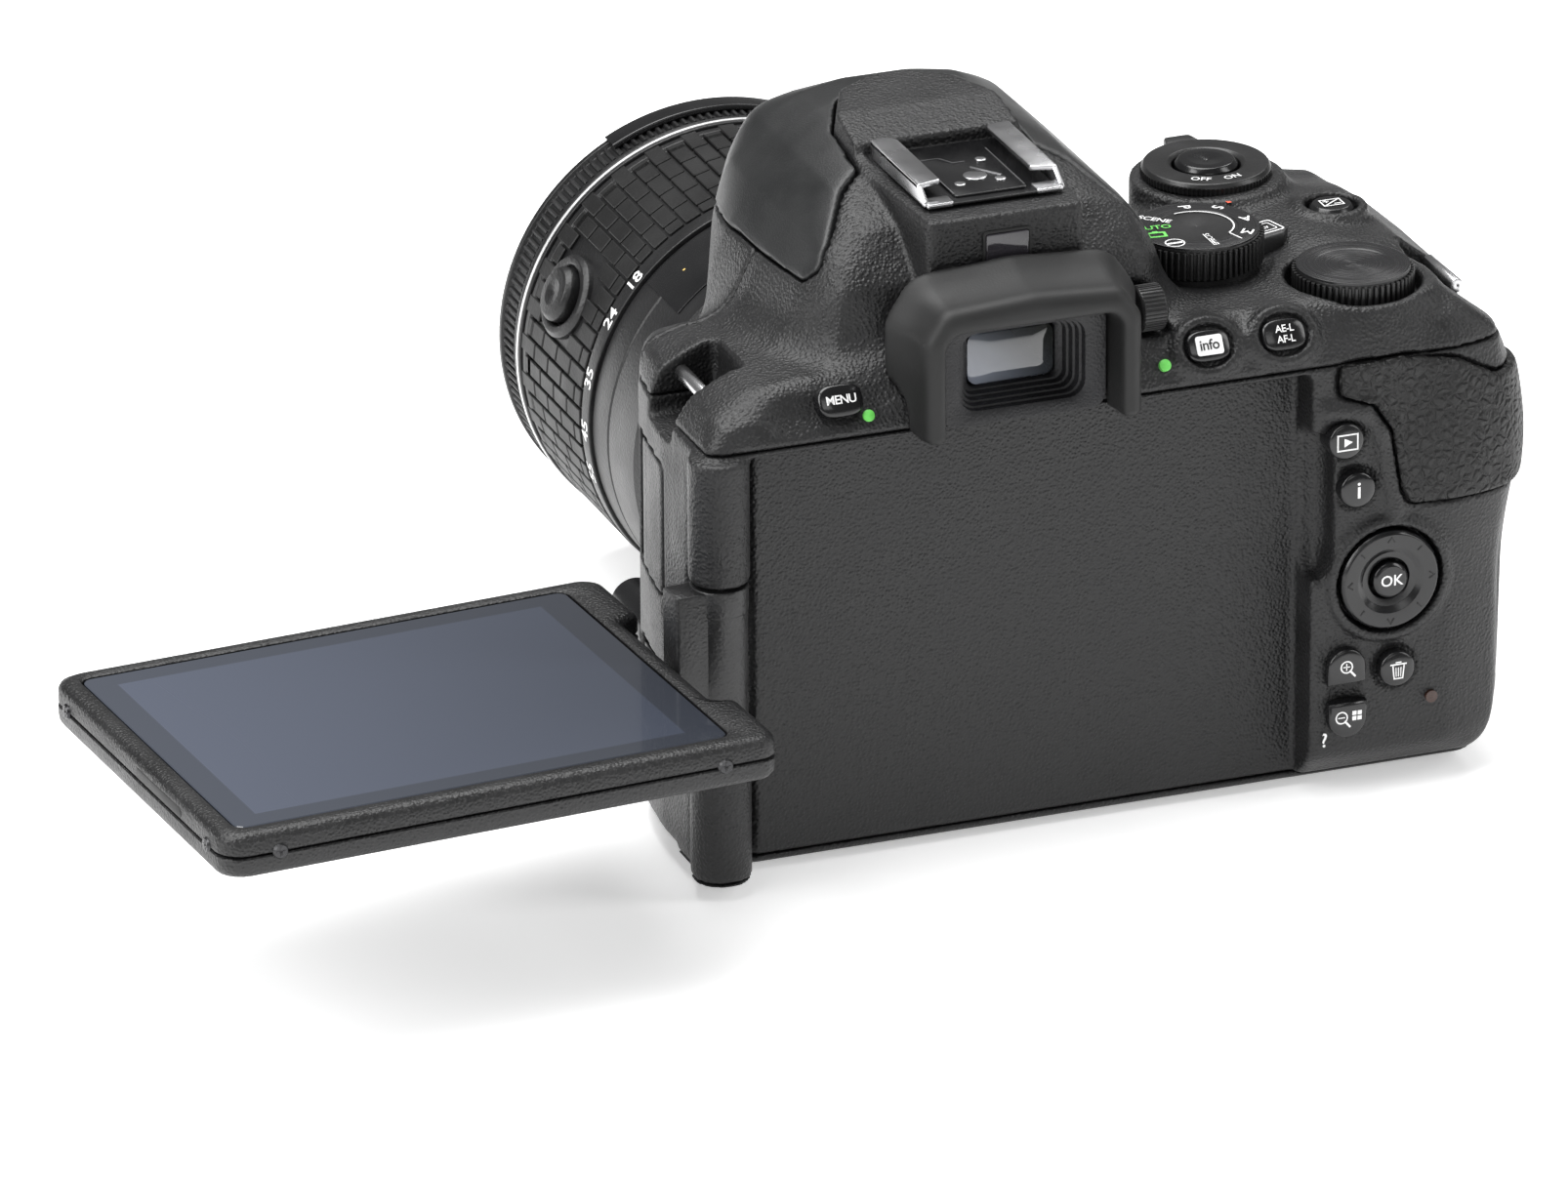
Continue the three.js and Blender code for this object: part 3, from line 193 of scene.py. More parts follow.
CELL = 0.6
GRID_LOW = np.array([-83.0, -51.5, -2.0])
GRID_HIGH = np.array([51.0, 27.0, 101.5])
X, Y, Z = np.meshgrid(*[np.arange(low, high, CELL, dtype=np.float32)
                        for low, high in zip(GRID_LOW, GRID_HIGH)], indexing="ij", sparse=True)
SEAM = 0.28
LENS_Z = 35.0


def join(a, b, blend=0.0):
    """Both forms together, with a fillet about as wide as blend."""
    if blend <= 0:
        return np.minimum(a, b)
    share = np.clip(0.5 + 0.5 * (b - a) / blend, 0, 1)
    return b * (1 - share) + a * share - blend * share * (1 - share)


def common(a, b, blend=0.0):
    """What both forms share, with its edges rounded over about blend."""
    return -join(-a, -b, blend)


def carve(a, b, blend=0.0):
    """The first form with the second cut out of it."""
    return common(a, -b, blend)


def between(axis, low, high):
    return np.maximum(low - axis, axis - high)


def block(low, high, radius=0.0):
    """A box with rounded edges."""
    reach = [np.abs(axis - (a + b) / 2) - ((b - a) / 2 - radius) for axis, a,
             b in zip((X, Y, Z), low, high)]
    outside = np.sqrt(sum(np.maximum(r, 0) ** 2 for r in reach))
    inside = np.minimum(np.maximum(np.maximum(reach[0], reach[1]), reach[2]), 0)
    return outside + inside - radius


def outline(u, v, points, radius=0.0):
    """Distance to an outline drawn in two of the axes, its corners rounded to a radius."""
    points = np.array(points, float)
    if np.sum(points[:, 0] * np.roll(points[:, 1], -1) - points[:, 1] * np.roll(points[:, 0], -1)) < 0:
        points = points[::-1]
    along = np.roll(points, -1, 0) - points
    normal = np.stack([along[:, 1], -along[:, 0]], 1) / np.linalg.norm(along, axis=1)[:, None]
    before = np.roll(normal, 1, 0)
    spread = 1 + np.sum(normal * before, 1, keepdims=True)
    points = points - radius * (normal + before) / spread
    nearest = None
    winding = np.zeros(np.broadcast(u, v).shape, bool)
    for (au, av), (bu, bv) in zip(points, np.roll(points, -1, 0)):
        du, dv = bu - au, bv - av
        part = np.clip(((u - au) * du + (v - av) * dv) / (du * du + dv * dv), 0, 1)
        squared = (u - au - part * du) ** 2 + (v - av - part * dv) ** 2
        nearest = squared if nearest is None else np.minimum(nearest, squared)
        if av != bv:
            winding ^= ((av > v) != (bv > v)) & (u < du * (v - av) / dv + au)
    return np.where(winding, -1, 1) * np.sqrt(nearest) - radius


def mirrored(half_outline):
    """A left-right symmetric outline from its +X half, listed from the bottom up."""
    return half_outline + [(-a, b) for a, b in reversed(half_outline)]


def drum(centre, aim, radius, low, high, stretch=1.0, blend=0.6):
    """A round post about an axis through centre, its ends at low and high along the aim."""
    aim = np.array(aim, float) / np.linalg.norm(aim)
    side = np.cross(aim, (1.0, 0, 0) if abs(aim[0]) < 0.9 else (0, 1.0, 0))
    side /= np.linalg.norm(side)
    other = np.cross(aim, side)
    away = [X - centre[0], Y - centre[1], Z - centre[2]]
    along, u, v = [sum(a * n for a, n in zip(away, way)) for way in (aim, side, other)]
    round_part = np.sqrt(u ** 2 + (v / stretch) ** 2) - radius
    return common(round_part, np.maximum(low - along, along - high), blend)


def capsule(start, end, radius):
    start, end = np.array(start, float), np.array(end, float)
    way = end - start
    part = sum((axis - a) * w for axis, a, w in zip((X, Y, Z), start, way)) / np.dot(way, way)
    part = np.clip(part, 0, 1)
    return np.sqrt(sum((axis - a - part * w) ** 2 for axis, a, w in zip((X, Y, Z), start, way))) - radius


# The box behind the lens, rounder and lower towards the hinge
pan_front = outline(X, Z, [(-71, 0), (44.4, 0), (47.6, 4), (47.6, 60), (46.9, 66), (44, 70.2), (38, 73.6),
                           (30, 75.2), (-56, 75.2), (-66.5, 72.6), (-73.5, 67), (-77.3, 59), (-78, 49),
                           (-77.4, 30), (-75.9, 12)], 3.0)
grip_half_side = outline(Y, Z, [(-29, 0), (10.5, 0), (18.2, 7), (18.2, 66.5), (16.8, 70), (12.4, 75.2),
                                (-27, 75.2), (-33, 69), (-33, 4)], 2.5)
hinge_half_side = outline(Y, Z, [(-29, 0), (10.5, 0), (18.2, 7), (18.2, 66.5), (16.8, 70), (12.4, 74.4),
                                 (-4, 75.4), (-16, 73.2), (-26, 67.2), (-33, 60), (-33, 4)], 3.0)
turn = np.clip((X - 14) / 12, 0, 1)
pan_side = grip_half_side * (1 - turn) + hinge_half_side * turn
pan_plan = outline(X, Y, [(47.6, 19), (-65, 18.6), (-73, 15.4), (-77.4, 8.5), (-78, -6), (-75, -23),
                          (-70, -33),
                          (31.5, -33), (38.6, -26), (44.6, -15), (47.6, 0)], 3.0)
casing = common(common(pan_front, pan_side, 3.5), pan_plan, 2.5)

# Hand grip, thumb rest and the ring that the lens sits in
grip_plan = outline(X, Y, [(-78, -2), (-78, -26), (-74.5, -40), (-67.5, -46.5), (-60, -48), (-52, -44.5),
                           (-47.2, -37), (-46.2, -28), (-52, -6)], 5.0)
grip_side = outline(Y, Z, [(-44, 0), (-2, 0), (-2, 75.6), (-37, 76.6), (-44.5, 68), (-48, 55), (-48, 6)],
                    5.0)
casing = join(casing, common(common(grip_plan, grip_side, 4.0), pan_front, 3.0), 5.0)
thumb_rest = np.sqrt(((X + 66.5) / 10.6) ** 2 + ((Y - 11) / 7.0) ** 2 + ((Z - 50) / 16) ** 2)
casing = join(casing, (thumb_rest - 1) * 7.0, 4.0)
casing = join(casing, drum((0, -40, LENS_Z), (0, -1, 0), 33.6, -18, 6.0, blend=1.8), 6.0)

# Finder housing and flash head as one dome over the lens
dome_front = outline(X, Z, mirrored([(38, 64), (34.5, 72.5), (30.5, 77.5), (27, 82.5), (23, 88), (18, 92.8),
                                     (12, 96.3), (5, 98.4)]), 3.0)
dome_side = outline(Y, Z, [(-45.5, 58), (12, 58), (11.5, 75), (8.5, 84), (2, 90), (-8, 94.3), (-18, 97.2),
                           (-30, 98.8), (-38, 97.8), (-44, 93.4), (-47.6, 85), (-47.6, 77), (-45.6, 66)],
                    3.0)
dome_plan = outline(X, Y, mirrored([(18, 13), (24, 9), (29, 1), (32, -12), (30, -27), (25, -38),
                                    (17, -47.4)]), 4.0)
dome = common(common(dome_front, dome_side, 4.5), dome_plan, 6.0)
casing = join(casing, dome, 5.0)
pedestal_plan = outline(X, Y, mirrored([(11.6, 12.6), (12.1, 2), (12.8, -8), (12.2, -22), (8.6, -30),
                                        (3, -33.4)]), 1.4)
pedestal_side = outline(Y, Z, [(-36, 60), (12.6, 60), (12.6, 94.1), (-13, 94.1), (-14.2, 96.4), (-22, 98.2),
                               (-36, 99)], 0.8)
casing = join(casing, common(pedestal_plan, pedestal_side, 0.6), 0.8)
casing = carve(casing, block((-10.9, -14.0, 94.4), (10.9, 8.4, 110), 0.3), 0.3)
casing = carve(casing, block((-20, 7.8, 94.2), (20, 30, 110), 0.3), 0.4)

# Turret under the shutter button, and pockets for the dials
casing = join(casing, common(drum((-48, -32, 0), (0, 0, 1), 11.0, 60, 76.8), pan_plan - 30, 0.3), 3.0)
casing = join(casing, drum((-60.9, -16.5, 0), (0, 0, 1), 5.2, 60, 76.3, blend=0.9), 1.6)
casing = carve(casing, drum((-60.9, -16.5, 0), (0, 0, 1), 3.8, 70.9, 90, blend=0.3), 0.3)
casing = join(casing, drum((-54.8, 5.9, 0), (0, 0, 1), 11.2, 60, 73.6, blend=1.2), 3.0)
casing = carve(casing, drum((-54.8, 5.9, 0), (0, 0, 1), 9.6, 71.0, 90, blend=0.5), 0.7)
casing = carve(casing, drum((-36, -6.3, 0), (0, 0, 1), 10.6, 74.4, 90, blend=0.4), 0.5)
casing = carve(casing, drum((-48, -32, 0), (0, 0, 1), 5.6, 72.9, 90, blend=0.3), 0.4)

# Rear band: raised collars and scooped seats for the buttons that look up
BAND_WAY = (0.0, math.cos(math.radians(30)), math.sin(math.radians(30)))
for button_x in (-28.6, -40.0):
    centre = (button_x, 15.8, 71.2)
    casing = join(casing, drum(centre, BAND_WAY, 4.4, -8, 1.15, 1.16, 0.9), 1.8)
    casing = carve(casing, drum(centre, BAND_WAY, 3.1, 0.1, 6, 1.22, 0.4), 0.5)
casing = carve(casing, capsule((21.5, 21.6, 74.2), (33.5, 21.4, 73.4), 7.0), 0.8)
casing = carve(casing, drum((26.3, 15.8, 71.2), BAND_WAY, 2.85, -0.6, 6, 1.3, 0.3), 0.3)
casing = carve(casing, drum((-21.5, 11.5, 76.5), (1, 0, 0), 4.1, -2.6, 2.6), 0.5)

# Well for the monitor, with its finger scoop, and the posts of the hinge
TILT_Z = 33.5
HINGE_X, HINGE_Y = 44.0, 15.5
casing = carve(casing, block((-43.9, 11.8, -5), (38.95, 30, 65.2), 1.0), 0.8)
casing = carve(casing, block((37.5, 10.8, -5), (60, 30, 65.2), 1.0), 0.6)
casing = carve(casing, block((-47.4, 12.6, 34), (-40, 30, 56), 2.6), 1.0)
for low, high in ((2.0, 19.9), (47.1, 65.5)):
    post = join(drum((HINGE_X, HINGE_Y, 0), (0, 0, 1), 4.3, low, high),
                block((41.2, 5, low), (46.8, 15, high), 0.6), 0.8)
    casing = join(casing, post, 0.4)
casing = carve(casing, drum((HINGE_X, HINGE_Y, 0), (0, 0, 1), 1.7, 15, 52), 0.2)

# Back controls: a rim and a seat for the direction pad, seats for the small buttons, and a ridge round them
casing = join(casing, drum((-55.5, 18.2, 32.9), (0, 1, 0), 9.3, -5, 0.7, blend=0.6), 1.2)
casing = carve(casing, drum((-55.5, 18.2, 32.9), (0, 1, 0), 8.0, -2.4, 9, blend=0.3), 0.4)
for button_x, button_z in ((-48.6, 55.0), (-50.4, 47.4), (-56.7, 19.1)):
    casing = carve(casing, drum((button_x, 18.2, button_z), (0, 1, 0), 3.2, -0.9, 9, blend=0.3), 0.5)
casing = carve(casing, capsule((-49.0, 20.3, 20.2), (-49.2, 20.3, 12.9), 3.6), 0.3)
casing = join(casing, capsule((-46.5, 17.4, 59.4), (-51.4, 17.4, 59.0), 1.5), 1.4)
casing = join(casing, capsule((-51.4, 17.4, 59.0), (-54.3, 17.4, 55.8), 1.5), 1.4)
casing = join(casing, capsule((-54.3, 17.4, 55.8), (-56.6, 17.4, 43.6), 1.5), 1.4)

# Strap pockets at both shoulders, the eyepiece's opening, and small keys at the front
casing = carve(casing, block((35.8, -7.0, 63.4), (60, 4.0, 90), 1.2), 0.5)
casing = carve(casing, block((-90, -7.0, 63.4), (-66.3, 4.0, 90), 1.2), 0.5)
casing = carve(casing, block((-10.25, 9.4, 66.3), (10.25, 30, 79.9), 0.5), 0.3)
casing = carve(casing, drum((38.2, -23, 23), (0, -1, 0), 4.1, -2.6, 30), 0.4)
casing = carve(casing, drum((34.2, -27, 56), (0, -1, 0), 2.8, -1, 30), 0.3)
casing = carve(casing, drum((0, -39, 70.2), (1, 0, 0), 2.9, 14.8, 40), 0.3)

casing = common(casing, -Z)

# Rooms inside
ROOMS = [((-41, -1, 2.7), (35.6, 9.6, 63.7)), ((26, -22, 2.7), (35.6, 5, 62)),
         ((-17, -38.5, 10.7), (17, 5, 63.7)),
         ((-70, -1, 2.7), (-40, 11.2, 63.7)), ((-12.5, -16, 61.7), (12.5, 3.5, 86.0)),
         ((-71.6, -39.5, 2.0), (-54, -6.5, 54.4)), ((-80, -3.4, 12.8), (-73.4, 8.6, 41.3)),
         ((40, -14, 12), (45.2, 1, 28)), ((40, -14, 39), (45.2, 1, 59)), ((-9.9, 5, 66.6), (9.9, 16, 79.6))]
rooms = drum((0, -46, LENS_Z), (0, 1, 0), 22.0, -4, 9, blend=0.2)
for low, high in ROOMS:
    rooms = join(rooms, block(low, high, 0.4))
shell = carve(casing, rooms)

# The parts of it: flash head, doors and rubber seats first, then the four pieces along their seams
casing_slope = np.gradient(casing, CELL)
depth_in = np.clip(casing, -3, 3)
flash_side = outline(Y - depth_in * casing_slope[1], Z - depth_in * casing_slope[2],
                     [(-60, 79.8), (-46, 80.2), (-22, 82.2), (0.5, 83.2), (2.6, 85.6), (0.5, 88.3),
                      (-5, 91.2),
                            (-10.5, 94), (-13.2, 96.6), (-13.2, 112), (-60, 112)], 1.0)
flash_zone = carve(flash_side, common(pedestal_plan - 0.4, between(Z, 0, 120)))
DOOR_ZONES = {
    "card_door": block((-95, -3.4, 12.8), (-72.6, 12.6, 41.3), 1.6),
    "port_cover_upper": block((44.4, -14, 39), (60, 1, 59), 1.6),
    "port_cover_lower": block((44.4, -14, 12), (60, 1, 28), 1.6),
    "battery_door": common(outline(X, Y, [(-71.4, -39.3), (-54.2, -39.3), (-54.2, -6.7), (-71.4, -6.7)],
                                   1.6),
                           between(Z, -9, 2.2)),
}
grip_zone = common(outline(X, Z, [(-90, 7.5), (-44, 7.5), (-44, 44), (-47, 57), (-52, 62), (-66, 62),
                                  (-71, 53),
                                  (-90, 53)], 2.0), Y + 9.0 + 0 * X, 1.0)
thumb_zone = common(outline(X, Z, [(-92, 43.6), (-58.6, 43.6), (-57.0, 46), (-55.4, 55.6), (-52.6, 59.8),
                                   (-47.6, 61.4), (-47.6, 66.3), (-57, 66.8), (-66, 65), (-72, 61.5),
                                   (-92, 61.5)], 1.5),
                    -4.0 + 0 * X - Y, 1.0)
thumb_zone = common(thumb_zone, outline(Y, Z, [(-8.5, 0), (30, 0), (30, 100), (-8.5, 100)], 1.0), 0.5)
for zone in (grip_zone, thumb_zone):
    shell = carve(shell, common(zone, -casing - 0.7))
for zone in (flash_zone, *DOOR_ZONES.values()):
    shell = carve(shell, zone - SEAM / 2, 0.15)

hinge_front = np.where(X > 20, Y + 15.4, Y - 5.0)
front_zone = np.maximum(hinge_front, np.where(X > 20, Z - 96, Z - 66.2))
low_zone = Z - 2.55
moulded_zones = {
    "front_shell": np.maximum(front_zone, -low_zone),
    "base_plate": low_zone,
    "rear_cover": np.maximum(np.maximum(-front_zone, Z - 66.2), -low_zone),
    "top_cover": np.maximum(-front_zone, 66.2 - Z),
}


def net(field):
    """Closed mesh of the zero surface of a field: vertices in millimetres, faces of four corners."""
    field = np.pad(np.ascontiguousarray(field, np.float32), 1, constant_values=9.0)
    inside = field < 0
    shape = np.array(field.shape) - 1
    corner = [(i, j, k) for i in (0, 1) for j in (0, 1) for k in (0, 1)]
    filled = np.zeros(shape, np.int8)
    for i, j, k in corner:
        filled += inside[i:shape[0] + i, j:shape[1] + j, k:shape[2] + k]
    cells = np.argwhere((filled > 0) & (filled < 8))
    number = np.full(shape, -1, np.int64)
    number[tuple(cells.T)] = np.arange(len(cells))
    total = np.zeros((len(cells), 3))
    crossings = np.zeros(len(cells))
    values = {c: field[tuple((cells + c).T)] for c in corner}
    for a in corner:
        for axis in range(3):
            if a[axis]:
                continue
            b = tuple(a[n] + (n == axis) for n in range(3))
            crossed = (values[a] < 0) != (values[b] < 0)
            part = values[a] / np.where(crossed, values[a] - values[b], 1)
            point = np.array(a, float) + part[:, None] * (np.array(b) - np.array(a))
            total += np.where(crossed[:, None], point, 0)
            crossings += crossed
    vertices = (cells + total / crossings[:, None] - 1) * CELL + GRID_LOW
    faces = []
    for axis in range(3):
        one, two = (axis + 1) % 3, (axis + 2) % 3
        start = [slice(1, -1)] * 3
        stop = list(start)
        start[axis], stop[axis] = slice(0, -1), slice(1, None)
        changed = inside[tuple(start)] != inside[tuple(stop)]
        edges = np.argwhere(changed)
        offset = np.ones(3, int)
        offset[axis] = 0
        edges = edges + offset
        out = inside[tuple(edges.T)]
        step_one, step_two = np.eye(3, dtype=int)[one], np.eye(3, dtype=int)[two]
        quad = np.stack([number[tuple((edges - a - b).T)] for a, b in
                         ((step_one * 0, step_two * 0), (step_one, step_two * 0), (step_one, step_two),
                          (step_one * 0, step_two))], 1)
        faces.append(np.where(out[:, None], quad, quad[:, ::-1]))
    return vertices, np.concatenate(faces)


def sample(field, points):
    """Field value at points in millimetres, read between the grid's corners."""
    place = (points - GRID_LOW) / CELL
    base = np.clip(np.floor(place).astype(int), 0, np.array(field.shape) - 2)
    part = np.clip(place - base, 0, 1)
    value = 0
    for i in (0, 1):
        for j in (0, 1):
            for k in (0, 1):
                weight = (part[:, 0] if i else 1 - part[:, 0]) * (part[:, 1] if j else 1 - part[:, 1])
                weight = weight * (part[:, 2] if k else 1 - part[:, 2])
                value = value + weight * field[base[:, 0] + i, base[:, 1] + j, base[:, 2] + k]
    return value


def moulded(name, field, finish, body="camera_body", stands_for=()):
    """A smooth piece from a field, with its normals taken from the form itself."""
    vertices, faces = net(field)
    nudge = CELL * 0.5
    slope = np.stack([sample(field, vertices + step) - sample(field, vertices - step)
                      for step in np.eye(3) * nudge], 1)
    length = np.linalg.norm(slope, axis=1, keepdims=True)
    slope = slope / np.maximum(length, 1e-6)
    mesh = bpy.data.meshes.new(name)
    mesh.vertices.add(len(vertices))
    mesh.vertices.foreach_set("co", (vertices * MM).astype(np.float32).ravel())
    mesh.loops.add(faces.size)
    mesh.loops.foreach_set("vertex_index", faces.astype(np.int32).ravel())
    mesh.polygons.add(len(faces))
    mesh.polygons.foreach_set("loop_start", np.arange(0, faces.size, 4, dtype=np.int32))
    mesh.update(calc_edges=True)
    mesh.validate()
    mesh.shade_smooth()
    mesh.normals_split_custom_set_from_vertices(slope.astype(np.float32))
    mesh.materials.append(finish)
    piece = bpy.data.objects.new(name, mesh)
    scene.collection.objects.link(piece)
    if stands_for:
        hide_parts(*stands_for)
    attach(piece, body)
    return piece


for zone_name, zone in moulded_zones.items():
    moulded(zone_name + "_moulding", common(shell, zone + SEAM / 2, 0.2), casing_paint,
            stands_for=(zone_name,))

# ---------------------------------------------------------------------------------------------------
# Flash head
# A smooth moulded hood that hinges up at the back of its two arms; its seam runs round the microphone
# panel. It is smoother than the casing.
flash_paint = paint("flash_plastic", moulded_tree, (0.010, 0.0105, 0.0108), (0.014, 0.0145, 0.0148), 0.42,
                    0.02,
                    {"Grains": 3200.0}, Specular_IOR_Level=0.4)
flash_form = common(common(casing, flash_zone + SEAM / 2, 0.25),
                    -drum((0, -39, 70.2), (1, 0, 0), 2.9, 16, 40))
flash_form = carve(flash_form, block((-15, -43.5, 70), (15, -14.5, 92.5), 1.5))
moulded("flash_hood", flash_form, flash_paint, body="flash_head", stands_for=("flash_head",))

# ---------------------------------------------------------------------------------------------------
# Doors
# Card door, battery door and two port covers, parted from the casing by a thin seam with round corners
for door_name, zone in DOOR_ZONES.items():
    moulded(door_name + "_panel", common(common(casing, zone + SEAM / 2, 0.3), -rooms), casing_paint,
            body=door_name, stands_for=(door_name,))

# ---------------------------------------------------------------------------------------------------
# Rubber grips
# Leather-grained rubber skins set into shallow seats: one round the hand grip, one under the thumb.
# Rubber pressed like leather: irregular pillows between creases, the creases coloured darker as painted shade
leather_tree, given, gives = recipe("leather_grain", [
    ("Deep", "Color", (0.012, 0.012, 0.012, 1)), ("Worn", "Color", (0.022, 0.022, 0.022, 1)),
    ("Sheen", "Float", 0.5), ("Grains", "Float", 700.0), ("Waviness", "Float", 90.0)])
place = node(leather_tree, "ShaderNodeTexCoord")["Object"]
wander = node(leather_tree, "ShaderNodeTexNoise", Vector=place, Scale=given["Grains"], Detail=2.0)[1]
shift = node(leather_tree, "ShaderNodeVectorMath", {"operation": "MULTIPLY_ADD"}, i0=wander,
             i1=(0.0011, 0.0011, 0.0011), i2=place)[0]
creases = node(leather_tree, "ShaderNodeTexVoronoi", {"feature": "DISTANCE_TO_EDGE"}, Vector=shift,
               Scale=given["Grains"])[0]
small = node(leather_tree, "ShaderNodeTexNoise", Vector=place, Scale=2600.0, Detail=2.0)[0]
broad = node(leather_tree, "ShaderNodeTexNoise", Vector=place, Scale=given["Waviness"], Detail=3.0)[0]
pillow = node(leather_tree, "ShaderNodeMapRange", {"interpolation_type": "SMOOTHSTEP"}, Value=creases,
              **{"From Min": 0.02, "From Max": 0.32, "To Min": 0.0, "To Max": 1.0})[0]
# Creases take the Deep colour and pillow tops the lighter one: painted shade in the creases
leather_tree.links.new(varied(leather_tree, pillow, given["Deep"], given["Worn"]), gives["Color"])
leather_tree.links.new(math_node(leather_tree, "MULTIPLY_ADD",
                                 math_node(leather_tree, "SUBTRACT", broad, 0.5),
                                 0.35, given["Sheen"]), gives["Roughness"])
leather_tree.links.new(math_node(leather_tree, "MULTIPLY_ADD", small, 0.25, pillow), gives["Height"])

# Crease colour first, then pillow colour: the darker creases are painted shade
grip_paint = paint("grip_skin", leather_tree, (0.004, 0.004, 0.004), (0.010, 0.010, 0.010), 0.48, 0.3,
                   Specular_IOR_Level=0.36)
for skin_name, zone, node_name in (("grip_skin", grip_zone, "grip_rubber"),
                                   ("thumb_skin", thumb_zone, "thumb_rubber")):
    skin = common(common(casing - 0.75, zone + 0.25, 0.7), -(casing + 0.55))
    moulded(skin_name, skin, grip_paint, stands_for=(node_name,))

# ---------------------------------------------------------------------------------------------------
# Eyepiece
# A soft rubber cup clipped over a moulded frame whose window steps inwards to the eyepiece glass.
def rounded(points, radius, steps=5):
    """A closed outline with its corners turned into arcs; a third number gives a corner its own radius."""
    result = []
    count = len(points)
    for index, point in enumerate(points):
        here = np.array(point[:2], float)
        before = np.array(points[index - 1][:2], float) - here
        after = np.array(points[(index + 1) % count][:2], float) - here
        reach = point[2] if len(point) > 2 else radius
        one, two = np.linalg.norm(before), np.linalg.norm(after)
        before, after = before / one, after / two
        half = math.acos(max(-1, min(1, float(before @ after)))) / 2
        run = min(reach / math.tan(half), one * 0.49, two * 0.49) if half < 1.55 else 0
        if run < 1e-4:
            result.append(here)
            continue
        size = run * math.tan(half)
        centre = here + (before + after) / np.linalg.norm(before + after) * size / math.sin(half)
        start, stop = here + before * run - centre, here + after * run - centre
        sweep = math.atan2(start[0] * stop[1] - start[1] * stop[0], start @ stop)
        for step in range(steps + 1):
            angle = sweep * step / steps
            turned = np.array([start[0] * math.cos(angle) - start[1] * math.sin(angle),
                               start[0] * math.sin(angle) + start[1] * math.cos(angle)])
            result.append(centre + turned)
    return np.array(result)


def loft(loops, low_cap=True, high_cap=True, ring=False):
    """A skin through loops of the same number of points."""
    count = len(loops[0])
    vertices = np.concatenate([np.array(loop, float) for loop in loops])
    faces = []
    pairs = [(a, a + 1) for a in range(len(loops) - 1)] + ([(len(loops) - 1, 0)] if ring else [])
    for a, b in pairs:
        for i in range(count):
            j = (i + 1) % count
            faces.append((a * count + i, a * count + j, b * count + j, b * count + i))
    if low_cap and not ring:
        faces.append(tuple(range(count))[::-1])
    if high_cap and not ring:
        faces.append(tuple(range((len(loops) - 1) * count, len(loops) * count)))
    return vertices, faces


def level(points, height):
    return [(u, v, height) for u, v in points]


def slab(points, low, high):
    return loft([level(points, low), level(points, high)])


def lathe(profile, steps=96, turn=math.tau, start=0.0):
    """A closed profile of (radius, height) turned about Z, all the way or part of it."""
    whole = turn > math.tau - 1e-6
    count = steps if whole else steps + 1
    loops = []
    for i in range(count):
        angle = start + turn * i / steps
        loops.append([(r * math.cos(angle), r * math.sin(angle), h) for r, h in profile])
    return loft(loops, ring=whole)


def moved(solid, matrix):
    vertices, faces = solid
    turn = np.array(matrix)
    return vertices @ turn[:3, :3].T + turn[:3, 3], faces


def facing(centre, out, up=(0, 0, 1)):
    """A frame at centre whose Z looks out and whose Y points up."""
    out = Vector(out).normalized()
    right = Vector(up).cross(out).normalized()
    frame_turn = Matrix((right, out.cross(right), out)).transposed().to_4x4()
    return Matrix.Translation(centre) @ frame_turn


def eased(solid, width, steps=2, angle=28):
    """The same solid with its sharp edges rounded."""
    form = bmesh.new()
    corners = [form.verts.new(v) for v in solid[0]]
    for face in solid[1]:
        form.faces.new([corners[i] for i in face])
    bmesh.ops.remove_doubles(form, verts=form.verts, dist=1e-4)
    bmesh.ops.recalc_face_normals(form, faces=form.faces)
    edges = [e for e in form.edges if len(e.link_faces) == 2 and e.calc_face_angle() > math.radians(angle)]
    bmesh.ops.bevel(form, geom=edges, offset=width, segments=steps, profile=0.5, affect="EDGES",
                    clamp_overlap=True)
    form.verts.index_update()
    result = np.array([v.co[:] for v in form.verts]), [tuple(v.index for v in f.verts) for f in form.faces]
    form.free()
    return result


def fitted(name, solids, finish, body="camera_body", stands_for=(), smooth=32):
    """One piece from solids given in millimetres."""
    form = bmesh.new()
    for vertices, faces in solids:
        corners = [form.verts.new(np.array(v) * MM) for v in vertices]
        for face in faces:
            form.faces.new([corners[i] for i in face])
    bmesh.ops.remove_doubles(form, verts=form.verts, dist=1e-7)
    bmesh.ops.recalc_face_normals(form, faces=form.faces)
    mesh = bpy.data.meshes.new(name)
    form.to_mesh(mesh)
    form.free()
    mesh.shade_smooth()
    mesh.set_sharp_from_angle(angle=math.radians(smooth))
    mesh.materials.append(finish)
    piece = bpy.data.objects.new(name, mesh)
    scene.collection.objects.link(piece)
    if stands_for:
        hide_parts(*stands_for)
    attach(piece, body)
    return piece


def box_outline(half_u, half_v, u=0.0, v=0.0):
    return [(u - half_u, v - half_v), (u + half_u, v - half_v), (u + half_u, v + half_v),
            (u - half_u, v + half_v)]


satin_paint = paint("satin_rubber", moulded_tree, (0.009, 0.0091, 0.0091), (0.012, 0.0121, 0.0121), 0.55,
                    0.01,
                    {"Grains": 2600.0}, Specular_IOR_Level=0.35)
flare = 3.4 * np.clip((21.5 - Y) / 8.5, 0, 1) ** 2
cup = outline(X, Z, [(-16.2, 55), (16.2, 55), (16.2, 80.6), (13.4, 84.9), (0, 85.8), (-13.4, 84.9),
                     (-16.2, 80.6)], 3.0)
cup = common(cup - flare, between(Y, 12.9, 23.9), 2.4)
cup = carve(cup, outline(X, Z, [(-13.2, 50), (13.2, 50), (13.2, 81.6), (-13.2, 81.6)],
                         2.6) + 0.12 * (24 - Y), 1.2)
cup = carve(cup, block((-30, 0, 0), (30, 50, 65.6), 0), 0.8)
cup = carve(cup, casing - 0.2)
